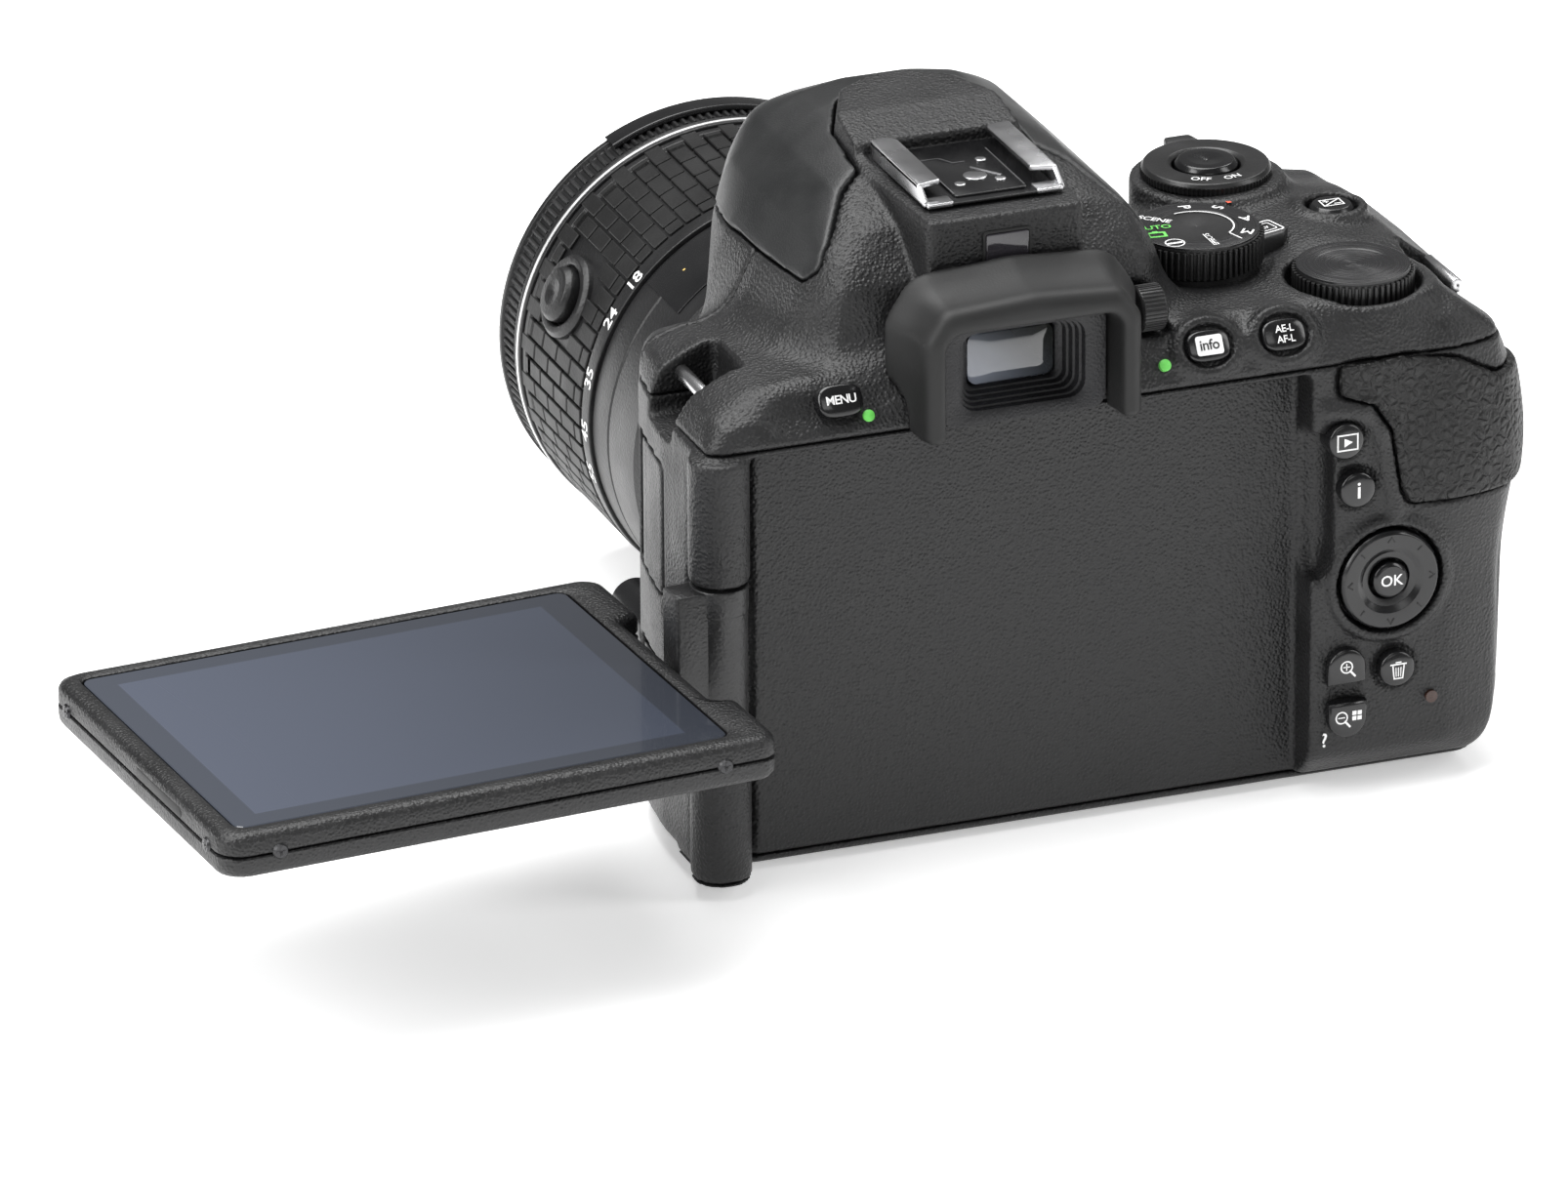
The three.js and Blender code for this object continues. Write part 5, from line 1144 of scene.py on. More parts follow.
# A noise cloud and a sweep along the pane lighten the picture area and its border towards the free end: a
# painted reflection
reflection_cloud = node(screen_tree, "ShaderNodeTexNoise", Vector=screen_place, Scale=9.0, Detail=1.0)[0]
painted_reflection_sweep = math_node(screen_tree, "MULTIPLY_ADD", screen_axes["X"], 5.0,
                 math_node(screen_tree, "MULTIPLY", reflection_cloud, 0.5))
picture_painted_reflection = varied(screen_tree, painted_reflection_sweep, (0.020, 0.024, 0.034, 1), (0.085, 0.098, 0.135, 1))
border_painted_reflection = varied(screen_tree, painted_reflection_sweep, (0.014, 0.016, 0.021, 1), (0.058, 0.066, 0.086, 1))
screen_tree.links.new(node(screen_tree, "ShaderNodeMix", {"data_type": "RGBA"}, i0=picture, i6=border_painted_reflection,
                           i7=picture_painted_reflection)[2],
                      screen_surface.inputs["Base Color"])
pane = loft([level(glass_outline(-0.1), 2.3), level(glass_outline(-0.1), 3.0),
             level(glass_outline(-0.25), 3.12)])
fitted("monitor_pane", [moved(pane, MONITOR_TURN)], screen_paint, body="monitor",
       stands_for=("monitor_glass",), smooth=25)

# Side screws, with a cross in each head, and a finger notch at the free end
screw_paint = paint("black_screw", moulded_tree, (0.03, 0.03, 0.032), (0.06, 0.06, 0.062), 0.3, 0.01,
                    {"Grains": 2600.0}, Metallic=0.8)


def screws_tree():
    """A countersunk screw with a cross slot at each corner of the mesh that the tree stands on."""
    tree = bpy.data.node_groups.new("screws_at_points", "GeometryNodeTree")
    for label, kind, value in (("Columns", "Int", 2), ("Rows", "Int", 1), ("Width", "Float", 0.05),
                               ("Height", "Float", 0.0),
                               ("Head", "Float", 0.0012), ("Depth", "Float", 0.0005),
                               ("Slot", "Float", 0.0003)):
        tree.interface.new_socket(name=label, in_out="INPUT",
                                  socket_type="NodeSocket" + kind).default_value = value
    tree.interface.new_socket(name="Finish", in_out="INPUT", socket_type="NodeSocketMaterial")
    tree.interface.new_socket(name="Geometry", in_out="OUTPUT", socket_type="NodeSocketGeometry")
    given = tree.nodes.new("NodeGroupInput").outputs
    grid = node(tree, "GeometryNodeMeshGrid", **{"Vertices X": given["Columns"],
                                                 "Vertices Y": given["Rows"],
                                                 "Size X": given["Width"],
                                                 "Size Y": given["Height"]})["Mesh"]
    head = node(tree, "GeometryNodeMeshCylinder", Vertices=20, Radius=given["Head"],
                Depth=given["Depth"])["Mesh"]
    rim = node(tree, "GeometryNodeMeshCone", Vertices=20, Depth=given["Slot"],
               **{"Radius Bottom": given["Head"], "Radius Top": math_node(tree, "MULTIPLY", given["Head"],
                       0.8)})["Mesh"]
    rim = node(tree, "GeometryNodeTransform", Geometry=rim, Translation=node(
        tree, "ShaderNodeCombineXYZ", Z=math_node(tree, "MULTIPLY", given["Depth"], 0.5))[0])[0]
    long = math_node(tree, "MULTIPLY", given["Head"], 1.25)
    bars = [node(tree, "GeometryNodeMeshCube", Size=node(tree, "ShaderNodeCombineXYZ", **sides,
                                                         Z=given["Depth"])[0])["Mesh"]
            for sides in ({"X": long, "Y": given["Slot"]}, {"X": given["Slot"], "Y": long})]
    cross = node(tree, "GeometryNodeMeshBoolean", {"operation": "UNION"})
    boolean = tree.nodes[-1]
    for bar in bars:
        tree.links.new(bar, boolean.inputs["Mesh 2"])
    cross = node(tree, "GeometryNodeTransform", Geometry=boolean.outputs["Mesh"], Translation=node(
        tree, "ShaderNodeCombineXYZ", Z=math_node(tree, "MULTIPLY", given["Depth"], 0.75))[0])[0]
    body = node(tree, "GeometryNodeJoinGeometry")
    joiner = tree.nodes[-1]
    for part in (head, rim):
        tree.links.new(part, joiner.inputs[0])
    node(tree, "GeometryNodeMeshBoolean", {"operation": "DIFFERENCE"}, **{"Mesh 1": joiner.outputs[0]})
    cutter = tree.nodes[-1]
    tree.links.new(cross, cutter.inputs["Mesh 2"])
    screws = node(tree, "GeometryNodeInstanceOnPoints", Points=grid, Instance=cutter.outputs["Mesh"])[0]
    screws = node(tree, "GeometryNodeRealizeInstances", Geometry=screws)[0]
    screws = node(tree, "GeometryNodeSetMaterial", Geometry=screws, Material=given["Finish"])[0]
    tree.links.new(screws, tree.nodes.new("NodeGroupOutput").inputs[0])
    return tree


screw_tree = screws_tree()


def in_metres(matrix):
    turn = matrix.copy()
    turn.translation = matrix.translation * MM
    return turn


near_side = MONITOR_TURN @ facing((46.3, 30.95, 0.2), (0, 1, 0))
far_side = MONITOR_TURN @ facing((46.3, -30.95, 0.2), (0, -1, 0))
free_end = MONITOR_TURN @ facing((87.25, 0, 0.2), (1, 0, 0))
side_screws = [grown(screw_tree, screw_paint, Columns=count, Rows=1, Width=width * MM, Height=0.0,
                     Head=1.15 * MM,
                     Depth=0.5 * MM, Slot=0.32 * MM) for count, width in ((2, 66), (2, 66), (2, 50))]
grown_piece("monitor_screws", side_screws, [in_metres(m) for m in (near_side, far_side, free_end)],
            screw_paint, "monitor")
# The finger notch is a dark slab on the free end: painted shade
notch_painted_shade = eased(slab(rounded(box_outline(8.0, 0.75), 0.7), -0.3, 0.12), 0.08)
fitted("monitor_notch", [moved(notch_painted_shade, MONITOR_TURN @ facing((87.45, 8, 1.1), (1, 0, 0)))],
       dark_paint, body="monitor")

# The hinge block: a round post with a flat arm, a cap at each end, and a pin through it
hinge_paint = paint("hinge_plastic", moulded_tree, (0.007, 0.007, 0.0073), (0.012, 0.012, 0.0125), 0.38,
                    0.05,
                    {"Grains": 2000.0})
BLOCK_TURN = Matrix.Translation((HINGE_X, HINGE_Y, TILT_Z)) @ Matrix.Rotation(math.radians(4), 4, "Z")
post = lathe(rounded([(1.6, -13.1), (4.1, -13.1), (4.1, -9.4), (3.95, -9.1), (3.95, 9.1), (4.1, 9.4),
                      (4.1, 13.1), (1.6, 13.1)],
                     0.3, 3), 64)
arm = eased(slab(rounded([(1.0, -2.7), (7.6, -2.5), (7.6, 2.5), (1.0, 2.7)], 0.6), -12.9, 12.9), 0.3)
arm_turn = Matrix(((1, 0, 0, 0), (0, 1, 0, 0), (0, 0, 1, 0), (0, 0, 0, 1)))
fitted("hinge_block_moulding", [moved(post, BLOCK_TURN), moved(arm, BLOCK_TURN @ arm_turn)], hinge_paint,
       body="hinge_block",
       stands_for=("hinge_block",))

# ---------------------------------------------------------------------------------------------------
# Dials and buttons on top
# Knurled plastic dials with turned faces, a power ring round the shutter button, and a lever under the
# mode dial. Marks are printed in white, green and red.
# Turned metal or plastic: fine rings round a centre, so that light draws out into a bow
turned_tree, given, gives = recipe("turned_rings", [
    ("Deep", "Color", (0.02, 0.02, 0.02, 1)), ("Worn", "Color", (0.03, 0.03, 0.03, 1)),
    ("Sheen", "Float", 0.35), ("Centre", "Vector", (0, 0, 0)), ("Pitch", "Float", 0.00025)])
place = node(turned_tree, "ShaderNodeTexCoord")["Object"]
away = node(turned_tree, "ShaderNodeVectorMath", {"operation": "SUBTRACT"}, i0=place, i1=given["Centre"])[0]
flat = node(turned_tree, "ShaderNodeVectorMath", {"operation": "MULTIPLY"}, i0=away, i1=(1, 1, 0))[0]
distance = node(turned_tree, "ShaderNodeVectorMath", {"operation": "LENGTH"}, i0=flat)["Value"]
ring = math_node(turned_tree, "DIVIDE", distance, given["Pitch"])
band = node(turned_tree, "ShaderNodeTexNoise", {"noise_dimensions": "1D"}, W=ring, Scale=1.0, Detail=2.0)[0]
wave = math_node(turned_tree, "SINE", math_node(turned_tree, "MULTIPLY", ring, math.tau))
turned_tree.links.new(varied(turned_tree, band, given["Deep"], given["Worn"]), gives["Color"])
turned_tree.links.new(math_node(turned_tree, "MULTIPLY_ADD", math_node(turned_tree, "SUBTRACT", band, 0.5),
                                0.15,
                                given["Sheen"]), gives["Roughness"])
turned_tree.links.new(math_node(turned_tree, "MULTIPLY_ADD", wave, 0.4, band), gives["Height"])


def up_frame(x, y):
    return Matrix.Translation((x, y, 0))


def dial(name, node_name, x, y, radius, low, high, ribs, face_finish, edge_finish, dish=0.0):
    """A knurled dial: its rim, its ribs and its turned face."""
    rim = rounded([(0.01, low), (radius - 0.8, low), (radius - 0.7, low + 0.3), (radius - 0.7, high - 0.5),
                   (radius - 0.8, high - 0.12), (radius - 1.1, high - 0.12), (0.01, high - 0.12)], 0.2, 3)
    fitted(name + "_rim", [moved(lathe(rim, 96), up_frame(x, y))], edge_finish, body=node_name,
           stands_for=(node_name,))
    grown_piece(name + "_knurl", [grown(rib_tree, edge_finish, Ribs=ribs, Radius=(radius - 0.42) * MM,
                                        Length=(high - low - 0.9) * MM, Thickness=0.3 * MM,
                                        Start=(low + 0.25) * MM)],
                [Matrix.Translation((x * MM, y * MM, 0))], edge_finish, node_name, smooth=60)
    face = [(0.01, high - 0.5), (radius - 0.75, high - 0.5), (radius - 0.75, high - 0.04),
            (radius - 1.0, high),
            (radius * 0.62, high), (radius * 0.6, high - dish), (0.01, high - dish - 0.02)]
    fitted(name + "_face", [moved(lathe(face, 128), up_frame(x, y))], face_finish, body=node_name,
           smooth=20)


dial_paint = paint("dial_black", moulded_tree, (0.008, 0.008, 0.008), (0.013, 0.013, 0.0135), 0.36, 0.01,
                   {"Grains": 2600.0})
MODE_X, MODE_Y = -36.0, -6.3
mode_face = paint("mode_face", turned_tree, (0.006, 0.006, 0.0065), (0.012, 0.012, 0.013), 0.3, 0.02,
                  {"Centre": (MODE_X * MM, MODE_Y * MM, 0)})
command_face = paint("command_face", turned_tree, (0.006, 0.006, 0.0065), (0.014, 0.014, 0.015), 0.26, 0.03,
                     {"Centre": (-54.8 * MM, 5.9 * MM, 0)})
dial("mode_dial", "mode_dial", MODE_X, MODE_Y, 9.7, 75.2, 80.1, 62, mode_face, dial_paint, 0.15)
dial("command_dial", "command_dial", -54.8, 5.9, 8.8, 71.4, 76.3, 56, command_face, dial_paint, 0.1)


def lying(mark, x, y, z, turn=0.0):
    return moved((np.array(mark[0], float), mark[1]), Matrix.Translation((x, y, z)) @ Matrix.Rotation(turn,
            4, "Z"))


def stroke(points, width, closed=False):
    """A line of even width through points, as a flat mark."""
    points = [np.array(p, float) for p in points]
    vertices, faces = [], []
    pairs = list(zip(points, points[1:] + ([points[0]] if closed else [])))
    for a, b in pairs[:len(points) if closed else len(points) - 1]:
        way = (b - a) / max(np.linalg.norm(b - a), 1e-6)
        side = np.array([-way[1], way[0]]) * width / 2
        lead = way * width / 2
        base = len(vertices)
        for corner in (a - side - lead, b - side + lead, b + side + lead, a + side - lead):
            vertices.append((*corner, 0.002 * len(faces)))
        faces.append((base, base + 1, base + 2, base + 3))
    return vertices, faces


def arc_points(radius, start, stop, steps=24, u=0.0, v=0.0):
    return [(u + radius * math.cos(math.radians(start + (stop - start) * i / steps)),
             v + radius * math.sin(math.radians(start + (stop - start) * i / steps))) for i in range(steps + 1)]


def filled(points):
    return [(u, v, 0.0) for u, v in points], [tuple(range(len(points)))]


MODE_TOP = 80.13
mode_marks = []
for text, angle, reach, size in (("P", 262, 7.2, 2.5), ("S", 225, 7.6, 2.4), ("A", 180, 7.5, 2.5),
                                 ("M", 142, 7.5, 2.5),
                                 ("SCENE", 317, 6.3, 1.75), ("EFFECTS", 90, 5.6, 1.25)):
    turn = math.radians(angle)
    mode_marks.append(lying(letters(text, size, 0.95), MODE_X + reach * math.cos(turn),
                            MODE_Y + reach * math.sin(turn),
                            MODE_TOP, turn + math.pi))
mode_marks += [lying(stroke(arc_points(5.3, 128, 283), 0.22), MODE_X, MODE_Y, MODE_TOP),
               lying(stroke(arc_points(5.3, 128, 128, 1)[:1] + arc_points(7.9, 121, 121, 1)[:1], 0.22),
                     MODE_X, MODE_Y,
                     MODE_TOP)]
mode_marks += [lying(stroke(arc_points(1.35, 0, 360), 0.2), MODE_X + 5.3, MODE_Y + 5.1, MODE_TOP),
               lying(stroke([(-0.9, 0), (0.9, 0)], 0.5), MODE_X + 5.3, MODE_Y + 5.1, MODE_TOP)]
print_on("mode_marks", mode_marks, white_ink, "mode_dial")
green_ink = paint("green_ink", moulded_tree, (0.12, 0.55, 0.08), (0.16, 0.62, 0.12), 0.5, 0.002)
auto_turn = math.pi * 0.96
print_on("auto_marks", [lying(letters("AUTO", 1.9, 0.95), MODE_X + 5.9, MODE_Y - 1.4, MODE_TOP, auto_turn),
                        lying(stroke([(-1.2, -0.75), (1.2, -0.75), (1.2, 0.75), (-1.2, 0.75)], 0.42, True),
                              MODE_X + 6.5,
                              MODE_Y + 1.3, MODE_TOP, auto_turn),
                        lying(filled([(-0.5, 0.8), (0.5, 0.8), (0.35, 1.3), (-0.35, 1.3)]), MODE_X + 6.5,
                              MODE_Y + 1.3,
                              MODE_TOP, auto_turn)], green_ink, "mode_dial")

# Lever under the mode dial, with a printed frame on its plate
LEVER_TURN = Matrix.Translation((MODE_X, MODE_Y, 0)) @ Matrix.Rotation(math.radians(196), 4, "Z")
arm_plate = rounded([(5, -3.2), (13.6, -2.9, 1.2), (15.3, -1.6, 1.2), (15.3, 1.6, 1.2), (13.6, 2.9, 1.2),
                     (5, 3.2)], 0.5, 4)
lever = [eased(slab(arm_plate, 74.1, 76.85), 0.35), lathe([(0.01, 74.0), (8.6, 74.0), (8.6, 75.0),
                                                           (0.01, 75.0)], 64)]
fitted("lever_plate", [moved(s, LEVER_TURN) for s in lever], dial_paint, body="live_view_lever",
       stands_for=("live_view_lever",))
lever_face = LEVER_TURN @ Matrix.Translation((12.2, 0, 76.88))
frames = [stroke(rounded(box_outline(2.2, 1.9), 0.5, 3), 0.26, True),
          stroke(rounded(box_outline(1.45, 1.2), 0.3, 3), 0.18, True),
          (letters("Lv", 1.5))]
print_on("lever_marks", [moved((np.array(m[0], float), m[1]), lever_face) for m in frames],
         white_ink, "live_view_lever")

# Power ring, shutter button and exposure button
SHUTTER_X, SHUTTER_Y = -48.0, -32.0
ring_outline = rounded([(4.95, 76.95), (9.3, 76.95), (9.3, 78.1), (8.9, 78.7), (5.6, 78.75), (4.95, 78.3)],
                       0.3, 3)
tab = eased(slab(rounded([(-2.0, -11.4, 0.8), (2.0, -11.4, 0.8), (2.6, -8.6, 0.3), (-2.6, -8.6, 0.3)], 0.4),
                 77.05, 78.6), 0.3)
fitted("power_ring", [moved(lathe(ring_outline, 96), up_frame(SHUTTER_X, SHUTTER_Y)),
                      moved(tab, up_frame(SHUTTER_X, SHUTTER_Y))],
       dial_paint, body="power_lever", stands_for=("power_lever",))
grown_piece("power_knurl", [grown(rib_tree, dial_paint, Ribs=90, Radius=9.28 * MM, Length=1.0 * MM,
                                  Thickness=0.16 * MM,
                                  Start=77.05 * MM)], [Matrix.Translation((SHUTTER_X * MM, SHUTTER_Y * MM,
                                          0))], dial_paint,
            "power_lever", smooth=60)
power_words = [lying(letters(text, 1.7), SHUTTER_X + 10.4 * math.cos(math.radians(a)) * 0.68,
                     SHUTTER_Y + 10.4 * math.sin(math.radians(a)) * 0.68, 78.8,
                     math.radians(a) + math.pi / 2)
               for text, a in (("OFF", 62), ("ON", 100))]
print_on("power_words", power_words, white_ink, "camera_body")
shutter_cap = rounded([(0.01, 73.7), (4.55, 73.7), (4.55, 78.5), (4.0, 79.2), (2.6, 79.25), (0.01, 78.95)],
                      0.4, 4)
fitted("shutter_cap", [moved(lathe(shutter_cap, 64), up_frame(SHUTTER_X, SHUTTER_Y))], gloss_paint,
       body="shutter_button",
       stands_for=("shutter_button",))
exposure_cap = rounded([(0.01, 72.1), (3.25, 72.1), (3.25, 75.6), (2.7, 76.2), (0.01, 76.25)], 0.35, 4)
fitted("exposure_cap", [moved(lathe(exposure_cap, 48), up_frame(-60.9, -16.5))], gloss_paint,
       body="exposure_button",
       stands_for=("exposure_button",))
exposure_turn = Matrix.Translation((-60.9, -16.5, 76.29)) @ Matrix.Rotation(math.pi, 4, "Z")
exposure_marks = [stroke([(-1.5, -1.1), (1.5, -1.1), (1.5, 1.1), (-1.5, 1.1)], 0.2, True),
                  stroke([(-1.5, -1.1), (1.5, 1.1)], 0.2),
                  stroke([(-1.1, 0.55), (-0.3, 0.55)], 0.2), stroke([(-0.7, 0.15), (-0.7, 0.95)], 0.2),
                  stroke([(0.3, -0.55), (1.1, -0.55)], 0.2)]
print_on("exposure_marks", [moved((np.array(m[0], float), m[1]), exposure_turn) for m in exposure_marks],
         white_ink,
         "exposure_button")

# ---------------------------------------------------------------------------------------------------
# Buttons on the back
# Glossy moulded caps in close seats: oval ones on the upper band, round ones, a split pair, and a dished
# direction pad round a centre button. Their signs are printed in white.
def back_frame(x, z, y=18.2, out=(0, 1, 0)):
    return facing((x, y, z), out)


def capped(name, node_name, outline_points, low, high, place, crown=0.35):
    outline_points = np.array(outline_points, float)
    cap = loft([level(outline_points, low), level(outline_points, high - 0.35),
                level(outline_points * 0.96 + 0.04 * outline_points.mean(0), high - 0.1),
                level(outline_points * 0.86 + 0.14 * outline_points.mean(0), high + crown * 0.3),
                level(outline_points * 0.45 + 0.55 * outline_points.mean(0), high + crown * 0.6)])
    return fitted(name, [moved(cap, place)], gloss_paint, body=node_name, stands_for=(node_name,),
                  smooth=50)


def oval(half_u, half_v, squareness=2.6, count=40):
    angles = np.arange(count) * math.tau / count
    power = 2 / squareness
    return np.stack([half_u * np.sign(np.cos(angles)) * np.abs(np.cos(angles)) ** power,
                     half_v * np.sign(np.sin(angles)) * np.abs(np.sin(angles)) ** power], 1)


BAND_FRAMES = {}
for key, button_x in (("menu", 26.3), ("info", -28.6), ("exposure_lock", -40.0)):
    BAND_FRAMES[key] = facing((button_x, 15.8, 71.2), BAND_WAY)
    capped(key + "_cap", key + "_button", oval(3.3, 2.3, 3.0), -2.0, 1.0, BAND_FRAMES[key])


def signs(name, marks, place, body, height):
    return print_on(name, [moved((np.array(m[0], float), m[1]),
                                 place @ Matrix.Translation((0, 0, height))) for m in marks],
                    white_ink, body)


def shifted(mark, du, dv):
    points = np.array(mark[0], float)
    points[:, 0] += du
    points[:, 1] += dv
    return points, mark[1]


signs("menu_word", [letters("MENU", 1.75, 0.9)], BAND_FRAMES["menu"], "menu_button", 1.24)
signs("info_label", [filled(rounded(box_outline(2.0, 1.4), 0.4, 3))], BAND_FRAMES["info"], "info_button",
      1.22)
print_on("info_word", [moved((np.array(m[0], float), m[1]),
                             BAND_FRAMES["info"] @ Matrix.Translation((0, 0, 1.26)))
                       for m in (letters("info", 2.1, 0.95),)], dark_paint, "info_button")
signs("lock_words", [shifted(letters("AE-L", 1.45, 0.95), 0, 0.75),
                     shifted(letters("AF-L", 1.45, 0.95), 0, -0.75)],
      BAND_FRAMES["exposure_lock"], "exposure_lock_button", 1.24)
for key, x, z in (("playback", -48.6, 55.0), ("info_menu", -50.4, 47.4), ("delete", -56.7, 19.1)):
    capped(key + "_cap", key + "_button", oval(2.7, 2.7, 2.0), -2.6, 0.9, back_frame(x, z))
play = [stroke(box_outline(1.5, 1.15), 0.22, True), filled([(-0.5, -0.65), (0.75, 0), (-0.5, 0.65)])]
signs("playback_sign", play, back_frame(-48.6, 55.0), "playback_button", 1.12)
signs("info_menu_sign", [letters("i", 3.6)], back_frame(-50.4, 47.4), "info_menu_button", 1.12)
bin_sign = [stroke([(-0.85, 0.6), (-0.65, -1.3), (0.65, -1.3), (0.85, 0.6)], 0.2),
            stroke([(-1.15, 0.85), (1.15, 0.85)], 0.22),
            stroke([(-0.35, 1.15), (0.35, 1.15)], 0.2)] + [stroke([(u, 0.3), (u * 0.9, -0.95)],
                                                                  0.15) for u in (-0.38, 0.0, 0.38)]
signs("delete_sign", bin_sign, back_frame(-56.7, 19.1), "delete_button", 1.12)

lobe = [(math.cos(math.radians(a)) * 2.9, math.sin(math.radians(a)) * 2.9) for a in range(0, 181, 12)]
upper_half = np.array([(u, v + 0.2) for u, v in lobe] + [(-2.9, -2.2), (2.9, -2.2)])
capped("zoom_in_cap", "zoom_in_button", upper_half, -2.6, 0.9, back_frame(-49.0, 20.2), 0.2)
capped("zoom_out_cap", "zoom_out_button", -upper_half, -2.6, 0.9, back_frame(-49.2, 12.9), 0.2)
lens_sign = [stroke(arc_points(0.85, 0, 360), 0.2), stroke([(0.55, -0.65), (1.25, -1.45)], 0.3),
             stroke([(-0.45, 0), (0.45, 0)], 0.16)]
signs("zoom_in_sign", [shifted(m, -0.2, 0.5) for m in lens_sign + [stroke([(0, -0.45), (0, 0.45)], 0.16)]],
      back_frame(-49.0, 20.2), "zoom_in_button", 1.05)
tiles = [filled(box_outline(0.32, 0.32, 0.75 + du, dv)) for du in (0.0, 0.8) for dv in (-0.4, 0.4)]
signs("zoom_out_sign", [shifted(m, -1.1, 0.1) for m in lens_sign] + [shifted(m, 0.1, 0.2) for m in tiles],
      back_frame(-49.2, 12.9), "zoom_out_button", 1.05)

# Direction pad: a dished ring that rocks, with raised signs, and the centre button
PAD_FRAME = back_frame(-55.5, 32.9)
pad_ring = rounded([(3.0, -1.0), (7.45, -1.0), (7.45, 0.5), (7.0, 1.05), (5.0, 0.85), (4.1, 0.35),
                    (3.0, 0.15)], 0.3, 4)
fitted("pad_ring", [moved(lathe(pad_ring, 96), PAD_FRAME)], gloss_paint, body="direction_pad",
       stands_for=("direction_pad",))
ok_cap = rounded([(0.01, -1.6), (2.65, -1.6), (2.65, 0.7), (2.2, 1.1), (0.01, 1.15)], 0.35, 4)
fitted("ok_cap", [moved(lathe(ok_cap, 48), PAD_FRAME)], gloss_paint, body="ok_button",
       stands_for=("ok_button",))
signs("ok_word", [letters("OK", 2.3)], PAD_FRAME, "ok_button", 1.19)
pad_signs = []
for number in range(8):
    turn = Matrix.Rotation(math.radians(45 * number), 4, "Z")
    shape = stroke([(-0.45, 5.9), (0, 6.6), (0.45, 5.9)],
                   0.2) if number % 2 == 0 else stroke([(0, 5.8), (0, 6.5)], 0.22)
    points, faces = np.array(shape[0], float), shape[1]
    ridge = eased(loft([level(points[list(face), :2], 0.7) for face in faces[:1]] +
                       [level(points[list(face), :2], 1.06) for face in faces[:1]]), 0.03, 1)
    pad_signs.append(moved(ridge, PAD_FRAME @ turn))
    for face in faces[1:]:
        quad = points[list(face), :2]
        pad_signs.append(moved(loft([level(quad, 0.7), level(quad, 1.05)]), PAD_FRAME @ turn))
fitted("pad_ridges", pad_signs, dark_paint, body="direction_pad")

# Help mark beside the lower zoom key
flat_marks = [moved((letters("?", 3.0)), back_frame(-45.9, 9.4, 18.26))]
print_on("help_mark", flat_marks, white_ink, "camera_body")

# ---------------------------------------------------------------------------------------------------
# Small metal and front parts
# Plated strap bars, the lens release with its column, and the two small keys on the lens side.
for side, bar_x in (("left", 41.2), ("right", -71.7)):
    bar = lathe(rounded([(0.01, -6.6), (1.05, -6.6), (1.05, 3.6), (0.01, 3.6)], 0.12, 2), 28)
    fitted("strap_bar_" + side, [moved(bar, Matrix.Translation((bar_x, 0,
                                                                69.4)) @ Matrix.Rotation(-math.pi / 2, 4,
                                                                        "X"))],
           steel_paint, stands_for=("strap_lug_" + side,))
front_way = (0, -1, 0)
release_cap = rounded([(0.01, -13.0), (3.55, -13.0), (3.55, -0.9), (2.8, -0.1), (1.2, -0.35),
                       (0.01, -0.42)], 0.4, 4)
fitted("release_cap", [moved(lathe(release_cap, 56), facing((38.2, -36, 23), front_way))], gloss_paint,
       body="lens_release_button", stands_for=("lens_release_button",))
key_cap = rounded([(0.01, -5.3), (2.35, -5.3), (2.35, -0.6), (1.8, 0.0), (0.01, 0.05)], 0.35, 4)
fitted("function_cap", [moved(lathe(key_cap, 44), facing((34.2, -32.4, 56), front_way))], gloss_paint,
       body="function_button", stands_for=("function_button",))
fitted("flash_key_cap", [moved(lathe(rounded([(0.01, -3.8), (2.35, -3.8), (2.35, -0.5), (1.9, 0.0),
                                              (0.01, 0.05)], 0.3, 4), 44),
                               facing((19.9, -39, 70.2), (1, 0, 0)))], gloss_paint, body="flash_button",
       stands_for=("flash_button",))

# Diopter dial beside the eyepiece
diopter_ring = rounded([(0.01, -1.95), (2.9, -1.95), (3.2, -1.6), (3.2, 1.6), (2.9, 1.95), (0.01, 1.95)],
                       0.25, 3)
DIOPTER_TURN = facing((-21.5, 11.5, 76.5), (1, 0, 0))
fitted("diopter_body", [moved(lathe(diopter_ring, 56), DIOPTER_TURN)], dial_paint, body="diopter_dial",
       stands_for=("diopter_dial",))
grown_piece("diopter_knurl", [grown(rib_tree, dial_paint, Ribs=36, Radius=3.2 * MM, Length=3.2 * MM,
                                    Thickness=0.14 * MM, Start=-1.6 * MM)], [in_metres(DIOPTER_TURN)],
            dial_paint,
            "diopter_dial", smooth=60)

# Marks: green dots, dark discs painted as the shade in the microphone and speaker holes, the index at the power
# ring and the card lamp
GREEN_PLACES = ((22.3, 17.0, 68.9), (-21.8, 17.2, 69.9))
dot_solids = [moved(lathe([(0.01, -0.8), (0.85, -0.8), (0.85, 0.12), (0.55, 0.3), (0.01, 0.36)], 24),
                    facing(place, BAND_WAY))
              for place in GREEN_PLACES]
fitted("green_dots", dot_solids, green_ink)


def roof(x, y):
    """Height of the casing's top surface above a point."""
    heights = np.arange(GRID_LOW[2] + 2, 99.5, 0.1)
    inside = sample(casing, np.stack([heights * 0 + x, heights * 0 + y, heights], 1)) < 0
    return float(heights[inside][-1])


# A hole is a dark disc standing barely proud of the roof: painted shade, not a cut
def hole_shade_disc(x, y, radius):
    post = lathe([(0.01, -0.8), (radius, -0.8), (radius, 0.04), (0.01, 0.06)], 16)
    tilt = Vector((roof(x - 1, y) - roof(x + 1, y), roof(x, y - 1) - roof(x, y + 1), 2.0))
    return moved(post, facing((x, y, roof(x, y)), tuple(tilt.normalized())))


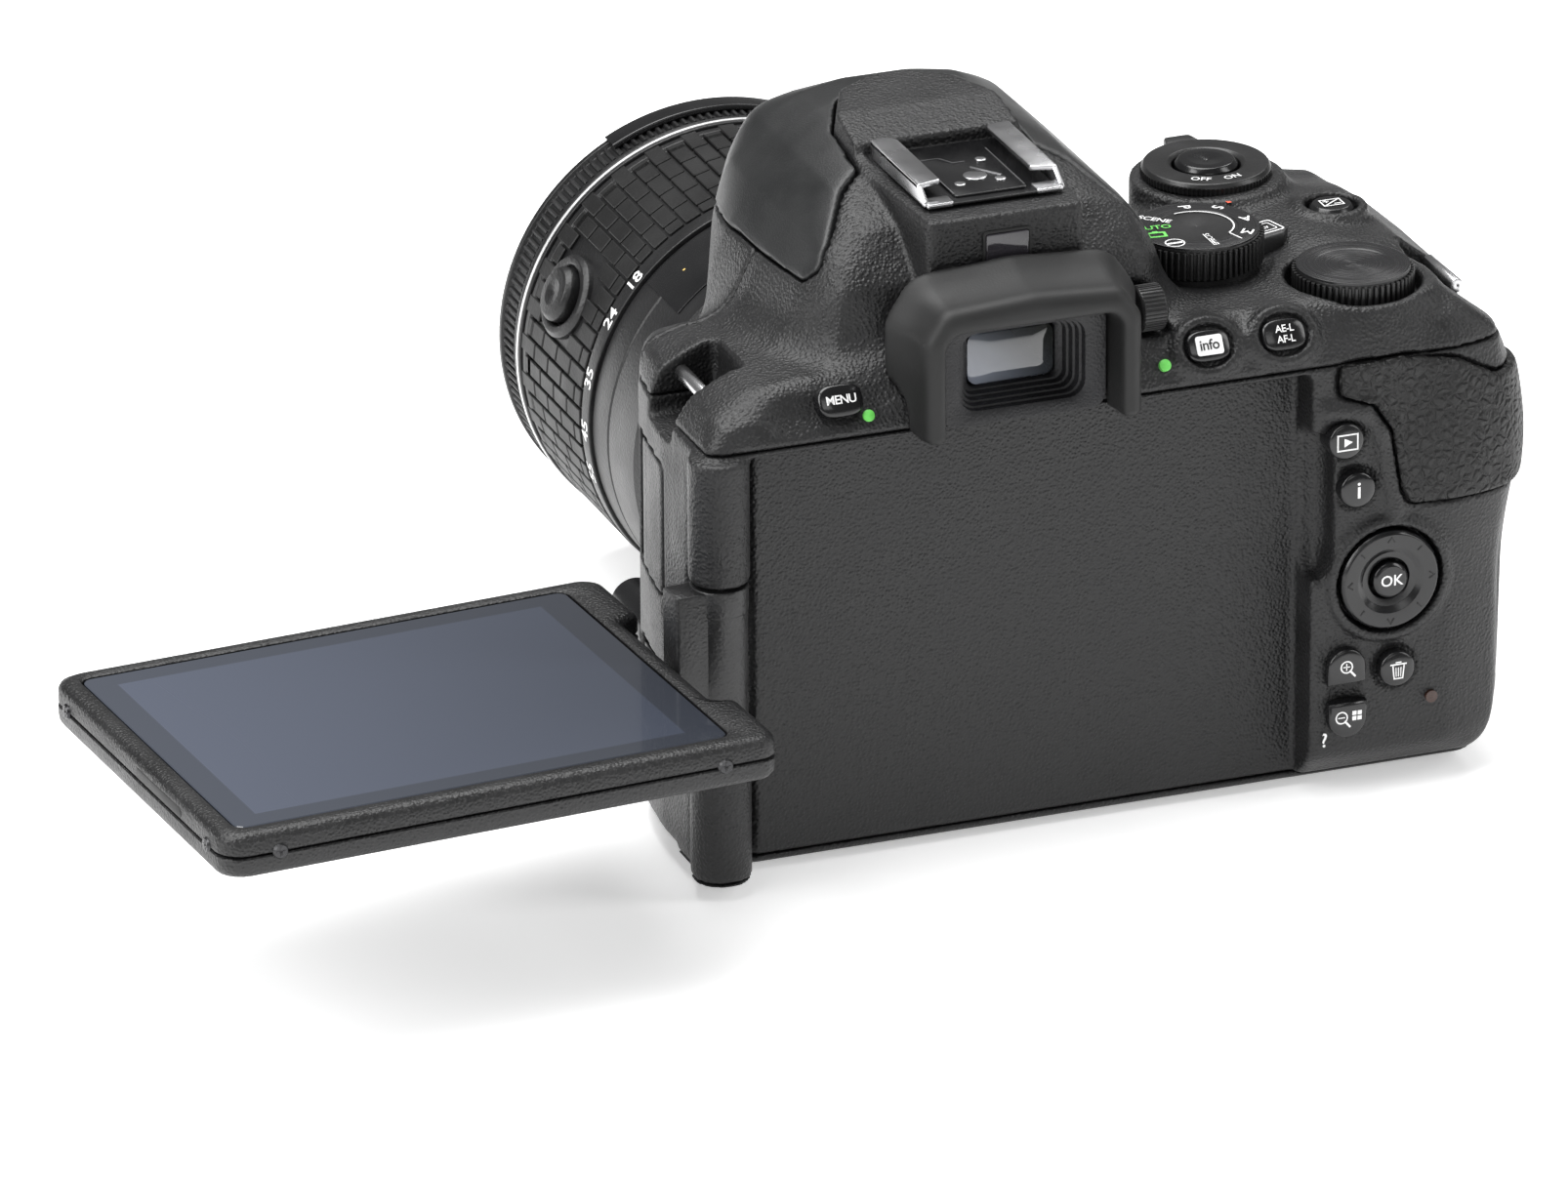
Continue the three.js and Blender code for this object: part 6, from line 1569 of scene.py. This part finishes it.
HOLE_PLACES = [(side * x, y) for side in (-1, 1) for x, y in ((8.6, -18.6), (7.0, -19.6), (5.4, -20.4),
                                                              (8.0, -21.2),
                                                              (6.2, -22.0))]
fitted("microphone_holes", [hole_shade_disc(x, y, 0.38) for x, y in HOLE_PLACES], dark_paint)
fitted("speaker_holes", [hole_shade_disc(x, y, 0.6) for x, y in ((31.2, -3.0), (29.6, -6.4))], dark_paint)
red_ink = paint("red_ink", moulded_tree, (0.6, 0.08, 0.04), (0.7, 0.1, 0.05), 0.5, 0.002)
index_turn = Matrix.Translation((-46.8, -21.1, 76.86)) @ Matrix.Rotation(0.1, 4, "Z")
print_on("power_index", [moved((np.array([(-0.32, -0.8, 0), (0.32, -0.8, 0), (0.32, 0.8, 0),
                                          (-0.32, 0.8, 0)]), [(0, 1, 2, 3)]),
                               index_turn)], red_ink, "camera_body")
lamp_paint = paint("lamp_window", moulded_tree, (0.03, 0.012, 0.008), (0.05, 0.02, 0.012), 0.2, 0.002)
fitted("card_lamp", [moved(lathe([(0.01, -0.6), (0.9, -0.6), (0.9, 0.1), (0.01, 0.22)], 28),
                           facing((-62.3, 18.2, 13.7), (0, 1, 0)))],
       lamp_paint)

# Parts behind the covers keep their form and get their own finishes
board_paint = paint("circuit_green", moulded_tree, (0.01, 0.06, 0.03), (0.02, 0.09, 0.05), 0.45, 0.03,
                    {"Grains": 700.0})
cell_paint = paint("battery_case", moulded_tree, (0.03, 0.03, 0.032), (0.05, 0.05, 0.053), 0.4, 0.01)
sensor_paint = paint("sensor_glass", moulded_tree, (0.02, 0.05, 0.045), (0.05, 0.03, 0.06), 0.12, 0.0,
                     Coat_Weight=0.6)
blade_paint = paint("shutter_blades", moulded_tree, (0.03, 0.03, 0.03), (0.05, 0.05, 0.05), 0.35, 0.004,
                    Metallic=0.6)
mirror_paint = paint("silvered_glass", moulded_tree, (0.75, 0.76, 0.78), (0.85, 0.86, 0.88), 0.06, 0.0,
                     Metallic=1.0)
matte_paint = paint("ground_glass", moulded_tree, (0.4, 0.42, 0.43), (0.5, 0.52, 0.53), 0.6, 0.004,
                    {"Grains": 4000.0})
PLAIN_PARTS = ((("circuit_board",), board_paint), (("battery_pack",), cell_paint),
               (("image_sensor",), sensor_paint),
               (("focal_plane_shutter",), blade_paint), (("reflex_mirror",), mirror_paint),
               (("focusing_screen",), matte_paint), (("display_panel",), screen_paint),
               (("hinge_pin", "tilt_pin", "tripod_socket"), steel_paint))
for node_names, finish in PLAIN_PARTS:
    for node_name in node_names:
        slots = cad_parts[node_name].data.materials
        slots.clear()
        slots.append(finish)
